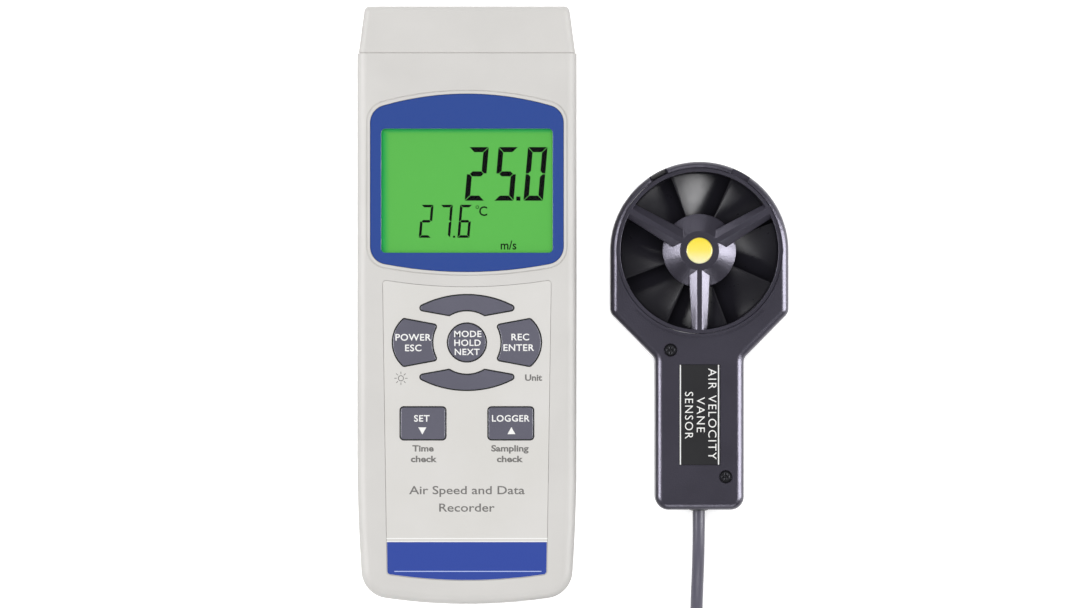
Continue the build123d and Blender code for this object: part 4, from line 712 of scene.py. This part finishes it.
def screw_group(name, node, middles, seat, head, tip, head_radius, shank_radius, way, finish):
    """Like screws as one piece that stands for their solid."""
    vertices, faces = [], []
    for middle in middles:
        points, quads = cross_screw(middle, seat, head, tip, head_radius, shank_radius, way)
        faces += [[len(vertices) + i for i in quad] for quad in quads]
        vertices += points.tolist()
    piece = make_piece(name, vertices, faces, finish)
    tidy_mesh(piece)
    shade_evenly(piece)
    place(piece, node)


black_oxide = moulded("black_oxide_steel", "#3C3C40", "#2E2E32", 0.25 * mm, 0.004 * mm, 0.28, Metallic=0.85)
low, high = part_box("case_screws")
case_head, case_shank, case_head_height = 2.7 * mm, 1.4 * mm, 1.8 * mm
screw_group("case_screws_cross", "case_screws",
            [(side * x * mm, y * mm) for side in (-1, 1) for x, y in ((31.0, 72.0), (20.0, -94.4))],
            low[2] + case_head_height, low[2], high[2], case_head, case_shank, -1, black_oxide)
low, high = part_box("cover_screws")
cover_head, cover_shank, cover_head_height = 2.4 * mm, 1.2 * mm, 1.0 * mm
screw_group("cover_screws_cross", "cover_screws",
            [(0, low[1] + cover_head), (0, high[1] - cover_head)],
            low[2] + cover_head_height, low[2], high[2], cover_head, cover_shank, -1, black_oxide)
low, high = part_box("probe_screws")
probe_head, probe_shank, probe_head_height = 2.0 * mm, 1.1 * mm, 1.4 * mm
screw_group("probe_screws_cross", "probe_screws",
            [(low[0] + probe_head, high[1] - probe_head), (high[0] - probe_head, low[1] + probe_head)],
            high[2] - probe_head_height, high[2], low[2], probe_head, probe_shank, 1, black_oxide)

# ------------------------------------------------------------------ battery cover, stand and tripod nut
# The cover and the folding stand are of the case's own ABS; the stand turns on a steel pin. A brass nut for a
# tripod screw is pressed into its boss.
dressed("battery_cover", case_abs, 0.3 * mm)
dressed("kickstand", case_abs, 0.3 * mm)
# Drawn steel and turned brass: bright, with the faintest marks of the tool.
bright_steel = moulded("drawn_steel", "#B9BABD", "#A9AAAE", 0.2 * mm, 0.002 * mm, 0.24, Metallic=1.0)
dressed("kickstand_pin", bright_steel, 0.15 * mm)
brass = moulded("turned_brass", "#C7A35A", "#B8924A", 0.2 * mm, 0.003 * mm, 0.3, Metallic=1.0)
dressed("tripod_nut", brass, 0.2 * mm)

# ------------------------------------------------------------------ sockets and memory card
# In the end cap, the probe's round socket and the yellow flat-pin socket for a thermocouple; in the left side, the
# jacks for data and power; in the foot, the card in its metal-sided socket.
# The glass in the nylon leaves the yellow dull.
socket_yellow = moulded("yellow_glass_filled_nylon", "#E8C23A", "#DDB52E", 0.4 * mm, 0.01 * mm, 0.45, IOR=1.53)
for node, edge in (("probe_socket", 0.2), ("data_jack", 0.15), ("power_jack", 0.15), ("key_switches", 0.1)):
    dressed(node, black_abs, edge * mm)
dressed("thermocouple_socket", socket_yellow, 0.2 * mm)
# Nickel plate: a warm, near-mirror metal.
nickel = moulded("nickel_plate", "#C3C0B8", "#B4B1AA", 0.25 * mm, 0.002 * mm, 0.22, Metallic=1.0)
dressed("card_socket", nickel, 0.1 * mm)
# The card is satin, so dark a blue that it looks black at its edge.
card_plastic = moulded("dark_blue_card_abs", "#23304F", "#1E2A46", 0.4 * mm, 0.006 * mm, 0.4, IOR=1.52)
dressed("memory_card", card_plastic, 0.15 * mm)

# ------------------------------------------------------------------ board, cells and contacts
# Inside: a green glass-epoxy board, four cells with printed sleeves, and sprung contacts of plated steel. The
# board's mask is glossy, and the sleeves are printed in two tones on foil, with bare metal at both ends.
board_green = moulded("green_solder_mask", "#1F6A3C", "#1A5C33", 0.5 * mm, 0.006 * mm, 0.28, IOR=1.5)
dressed("main_board", board_green, 0.1 * mm)
dressed("probe_board", board_green, 0.1 * mm)
dressed("battery_contacts", nickel, 0.15 * mm)
cell_sleeve, cell_tree, cell_shader = start_finish("printed_cell_sleeve", Roughness=0.28, Metallic=0.6)
cell_place = add_node(cell_tree, "ShaderNodeTexCoord").outputs["Object"]
cell_axes = add_node(cell_tree, "ShaderNodeSeparateXYZ", {"Vector": cell_place})
low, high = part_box("batteries")
cell_share = add_node(cell_tree, "ShaderNodeMapRange", {
    "Value": cell_axes.outputs["X"], "From Min": low[0], "From Max": high[0],
})
cell_print = add_node(cell_tree, "ShaderNodeValToRGB", {"Fac": cell_share.outputs[0]})
cell_print.color_ramp.interpolation = "CONSTANT"
cell_print.color_ramp.elements[0].color = hex_colour("#B9BABD")
cell_print.color_ramp.elements[1].position = 0.04
cell_print.color_ramp.elements[1].color = hex_colour("#2B2E33")
for stop, code in ((0.62, "#A9AEB4"), (0.96, "#B9BABD")):
    cell_print.color_ramp.elements.new(stop).color = hex_colour(code)
cell_tree.links.new(cell_print.outputs["Color"], cell_shader.inputs["Base Color"])
dressed("batteries", cell_sleeve, 0.6 * mm)

# ------------------------------------------------------------------ probe housing
# Two shells of black ABS with a coarser grain than the case's: a round head with a through bore, and a flat handle.
# The rolled edges carry a long bright line of a violet cast, which the grain breaks up.
probe_abs = moulded("grained_black_abs", "#26242E", "#1E1C25", 0.5 * mm, 0.05 * mm, 0.32, IOR=1.54,
                    Specular_IOR_Level=0.8, Specular_Tint=hex_colour("#E6E2F6"))
for node in ("probe_front_shell", "probe_back_shell"):
    dressed(node, probe_abs, 0.3 * mm)
low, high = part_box("probe_label")
# A matt film, let into the handle, with its words and two rules left white.
label_film = moulded("matt_black_label_film", "#1D1D20", "#19191C", 0.3 * mm, 0.004 * mm, 0.5, IOR=1.5,
                     Specular_IOR_Level=0.2)
dressed("probe_label", label_film, 0.08 * mm)
label_middle = ((low[0] + high[0]) / 2, (low[1] + high[1]) / 2)
label_top = high[2]
rule_width, rule_end = 0.4 * mm, 0.1 * mm
rule_lefts = (low[0] + 0.25 * mm, high[0] - 0.75 * mm)
label_rules = [rule(left, left + rule_width, low[1] + rule_end, high[1] - rule_end) for left in rule_lefts]
slab("label_rules", label_rules, label_top, label_top + ink_thickness, white_ink, "probe")
label_capital = 2.75
for name, text, across, along, width in (
    ("label_words", "AIR VELOCITY", 4.35, 0.3, 31.0), ("label_words_2", "VANE", 0.4, 0.0, 12.0),
    ("label_words_3", "SENSOR", -3.6, -0.2, 16.0),
):
    lettering(name, text, label_capital * mm, (label_middle[0] + across * mm, label_middle[1] + along * mm),
              label_top, white_ink, "probe", turn=-math.pi / 2, width=width * mm, bold=-0.004,
              apart=1.2)


# ------------------------------------------------------------------ guards and hub cap
# Each guard is one moulding of the same black ABS: a ring that presses into the bore, three ridged struts and a
# cone on a drum. A yellow button closes the front cone over the bearing.
dressed("front_guard", probe_abs, 0.25 * mm)
dressed("rear_guard", probe_abs, 0.25 * mm)


def turned(name, profile, middle, finish, axis="Z", rounds=96):
    """A turned piece: a closed profile of (radius, station) points carried round a line through middle, along Z,
    X or Y."""
    profile = np.asarray(profile, float)
    angle = np.linspace(0, 2 * math.pi, rounds, endpoint=False)
    radius, station = profile[:, :1], profile[:, 1:]
    one, two, along = radius * np.cos(angle), radius * np.sin(angle), station + 0 * angle
    order = {"Z": (one, two, along), "X": (along, one, two), "Y": (two, along, one)}[axis]
    grid = np.stack(order, axis=-1) + middle
    count = len(profile)
    row, below = np.arange(count)[:, None] * rounds, (np.arange(count)[:, None] + 1) % count * rounds
    here, ahead = np.arange(rounds), (np.arange(rounds) + 1) % rounds
    faces = np.stack([row + here, row + ahead, below + ahead, below + here], axis=-1).reshape(-1, 4)
    piece = make_piece(name, grid.reshape(-1, 3), faces.tolist(), finish)
    tidy_mesh(piece)
    return piece


low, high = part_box("hub_cap")
hub_middle = ((low[0] + high[0]) / 2, (low[1] + high[1]) / 2, 0)
cap_radius = (high[0] - low[0]) / 2
cap_angle = np.linspace(0, math.pi / 2, 9)
cap_roll, cap_roll_height, cap_dome = 0.9 * mm, 0.45 * mm, 0.15 * mm
cap_shoulder = high[2] - cap_dome - cap_roll_height
cap_profile = [(0, low[2]), (cap_radius, low[2]), (cap_radius, cap_shoulder - cap_dome)] + [
    (cap_radius - cap_roll * (1 - math.cos(a)), cap_shoulder + cap_roll_height * math.sin(a)) for a in cap_angle
] + [(cap_radius * share, high[2] - cap_dome * share) for share in (0.5, 0.25)] + [(0, high[2])]
# Translucent acetal: yellow, with painted light: paler towards the handle side, a painted glow for the light that
# gathers in it.
cap_acetal, cap_tree, cap_shader = start_finish("yellow_acetal", Roughness=0.3, IOR=1.48, Subsurface_Weight=0.15,
                                                Subsurface_Scale=0.002)
cap_axes = add_node(cap_tree, "ShaderNodeSeparateXYZ", {
    "Vector": add_node(cap_tree, "ShaderNodeTexCoord").outputs["Object"],
})
cap_share = add_node(cap_tree, "ShaderNodeMapRange", {
    "Value": cap_axes.outputs["Y"], "From Min": low[1], "From Max": high[1],
})
cap_yellow_and_painted_glow = add_node(cap_tree, "ShaderNodeValToRGB", {"Fac": cap_share.outputs[0]})
# The painted glow: the palest yellow at the handle side.
cap_yellow_and_painted_glow.color_ramp.elements[0].color = hex_colour("#F6EFC4")
cap_yellow_and_painted_glow.color_ramp.elements[1].color = hex_colour("#F7DC32")
cap_yellow_and_painted_glow.color_ramp.elements.new(0.5).color = hex_colour("#F8E463")
cap_tree.links.new(cap_yellow_and_painted_glow.outputs["Color"], cap_shader.inputs["Base Color"])
button = turned("hub_button", cap_profile, hub_middle, cap_acetal)
place(button, "hub_cap")

# ------------------------------------------------------------------ vane
# Eight thin twisted blades round a hub, moulded in one in black acetal, smooth enough to show long soft sheens.
# It turns on a steel shaft in two ruby bearings, and its magnets pass a sensor in the rear cone.
vane_acetal = moulded("polished_black_acetal", "#1E1D23", "#19181D", 3.0 * mm, 0.004 * mm, 0.30, IOR=1.48,
                       Specular_IOR_Level=0.3)
low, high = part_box("vane_rotor")
vane_middle = np.array([(low[0] + high[0]) / 2, (low[1] + high[1]) / 2])
blade_count = 8
blade_first = math.radians(66.0)
blade_span = math.radians(46.0)
blade_root, blade_tip = 9.8 * mm, (high[0] - low[0]) / 2
blade_edge_share = 0.35  # of the blade's thickness, at its two edges
blade_thickness = 0.8 * mm
blade_camber = 0.6 * mm
hub_radius = 10.6 * mm
hub_bore = 0.8 * mm
across_count, chord_count = 14, 22


def blade_surface(first, side):
    """One side of a blade: over radius and share of the chord, the angle runs back by the span, the height falls
    from top to bottom and bows by the camber's half sine; the thickness thins to a third at both edges."""
    radius = np.linspace(blade_root, blade_tip, across_count)[:, None]
    share = np.linspace(0, 1, chord_count)[None]
    angle = first - blade_span * share
    margin = blade_thickness / 2
    height = high[2] - margin - (high[2] - low[2] - 2 * margin) * share
    arch = np.sin(math.pi * share)
    fade = (radius - blade_root) / (blade_tip - blade_root)
    height = height + blade_camber * arch * fade + side * blade_thickness / 2 * (
        blade_edge_share + (1 - blade_edge_share) * arch)
    return np.stack([vane_middle[0] + radius * np.cos(angle), vane_middle[1] + radius * np.sin(angle),
                     height + 0 * radius], axis=-1)


vane_vertices, vane_faces = [], []
for blade in range(blade_count):
    first = blade_first + blade * 2 * math.pi / blade_count
    start = len(vane_vertices)
    size = across_count * chord_count
    for side in (1, -1):
        vane_vertices += blade_surface(first, side).reshape(-1, 3).tolist()
    grid = start + np.arange(size).reshape(across_count, chord_count)
    quads = np.stack([grid[:-1, :-1], grid[1:, :-1], grid[1:, 1:], grid[:-1, 1:]], axis=-1).reshape(-1, 4)
    rim = np.concatenate([grid[0, :-1], grid[:-1, -1], grid[-1, :0:-1], grid[:0:-1, 0]])
    rim_ahead = np.roll(rim, -1)
    vane_faces += quads.tolist() + (quads[:, ::-1] + size).tolist()
    vane_faces += np.stack([rim, rim_ahead, rim_ahead + size, rim + size], axis=-1).tolist()
blades = make_piece("vane_blades", vane_vertices, vane_faces, vane_acetal)
tidy_mesh(blades)
shade_evenly(blades)
place(blades, "vane_rotor")
hub_edge = 0.8 * mm
hub_roll = np.linspace(0, math.pi / 2, 6)
hub_flat = hub_radius - hub_edge
hub_profile = [(hub_bore, low[2])] + [
    (hub_flat + hub_edge * math.sin(a), low[2] + hub_edge * (1 - math.cos(a))) for a in hub_roll
] + [
    (hub_flat + hub_edge * math.cos(a), high[2] - hub_edge * (1 - math.sin(a))) for a in hub_roll
] + [(hub_bore, high[2])]
vane_hub = turned("vane_hub", hub_profile, (*vane_middle, 0), vane_acetal)
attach(vane_hub, "vane")
dressed("rotor_shaft", bright_steel, 0.1 * mm)
dressed("rotor_magnets", nickel, 0.1 * mm)
# Synthetic ruby: deep red, polished like glass.
ruby = moulded("ruby_sapphire", "#8E2B3C", "#7E2434", 0.5 * mm, 0.001 * mm, 0.1, IOR=1.76)
dressed("rotor_bearings", ruby, 0.1 * mm)
dressed("pickup_sensor", black_abs, 0.1 * mm)
dressed("temperature_sensor", black_abs, 0.2 * mm)

# ------------------------------------------------------------------ gland, coil tie and plug
# The cable leaves the handle through a rubber gland. Its other end has a ribbed boot, a ribbed grip, a nickel shell
# and four gilt pins, and a strap holds the coil.
rubber = moulded("black_rubber", "#242428", "#1F1F22", 0.4 * mm, 0.012 * mm, 0.55, IOR=1.52)
low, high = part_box("cable_gland")
gland_radius, collar_radius, collar_thickness = 3.3 * mm, 4.6 * mm, 1.5 * mm
gland_edge = (0.35 * mm, 0.3 * mm)
gland_bore = cable_diameter / 2
gland_profile = [
    (gland_bore, low[1]), (gland_radius - gland_edge[0], low[1]), (gland_radius, low[1] + gland_edge[1]),
    (gland_radius, high[1] - collar_thickness), (collar_radius, high[1] - collar_thickness),
    (collar_radius, high[1]), (gland_bore, high[1]),
]
gland = turned("cable_gland_bush", gland_profile, (cable_exit[0], 0, cable_exit[2]), rubber, axis="Y")
place(gland, "cable_gland")
dressed("coil_tie", rubber, 0.2 * mm)

plug_line = (0, -173.0 * mm, 5.6 * mm)
low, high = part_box("plug_boot")
boot_ribs = 6
boot_wide, boot_taper, boot_groove = 4.4 * mm, 1.9 * mm, 0.35 * mm
boot_share = np.linspace(0, 1, 4 * boot_ribs + 1)
boot_radius = boot_wide - boot_taper * boot_share - boot_groove * (np.arange(4 * boot_ribs + 1) % 4 >= 2)
boot_profile = ([(cable_diameter / 2, low[0])]
                + np.c_[boot_radius, low[0] + (high[0] - low[0]) * boot_share].tolist()
                + [(cable_diameter / 2, high[0])])
boot = turned("plug_boot_ribbed", boot_profile, plug_line, rubber, axis="X", rounds=64)
place(boot, "plug_boot")

low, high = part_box("plug_grip")
grip_length = high[0] - low[0]
grip_share = np.linspace(0, 1, 49)
grip_wide, grip_groove, grip_edge = 5.5 * mm, 0.3 * mm, 0.8 * mm
grip_waves = 7
ribbed = (np.sin(grip_share * 2 * math.pi * grip_waves) > 0.3) * (abs(grip_share - 0.5) < 0.36)
near_end = np.clip(1 - np.minimum(grip_share, 1 - grip_share) / 0.04, 0, 1)
grip_radius = grip_wide - grip_groove * ribbed - grip_edge * near_end ** 2
grip_profile = [(0, low[0])] + np.c_[grip_radius, low[0] + grip_length * grip_share].tolist() + [(0, high[0])]
# Glass-filled nylon, satin; the pins are gilt, so they stay bright.
plug_plastic = moulded("black_nylon_grip", "#1D1D20", "#18181B", 0.4 * mm, 0.01 * mm, 0.4, IOR=1.53)
grip = turned("plug_grip_ribbed", grip_profile, plug_line, plug_plastic, axis="X", rounds=64)
place(grip, "plug_grip")
dressed("plug_shell", nickel, 0.12 * mm)
dressed("plug_insert", black_abs, 0.1 * mm)
gilt = moulded("gold_plated_brass", "#D9B45B", "#CDA64B", 0.2 * mm, 0.001 * mm, 0.2, Metallic=1.0)
dressed("plug_pins", gilt, 0.15 * mm)
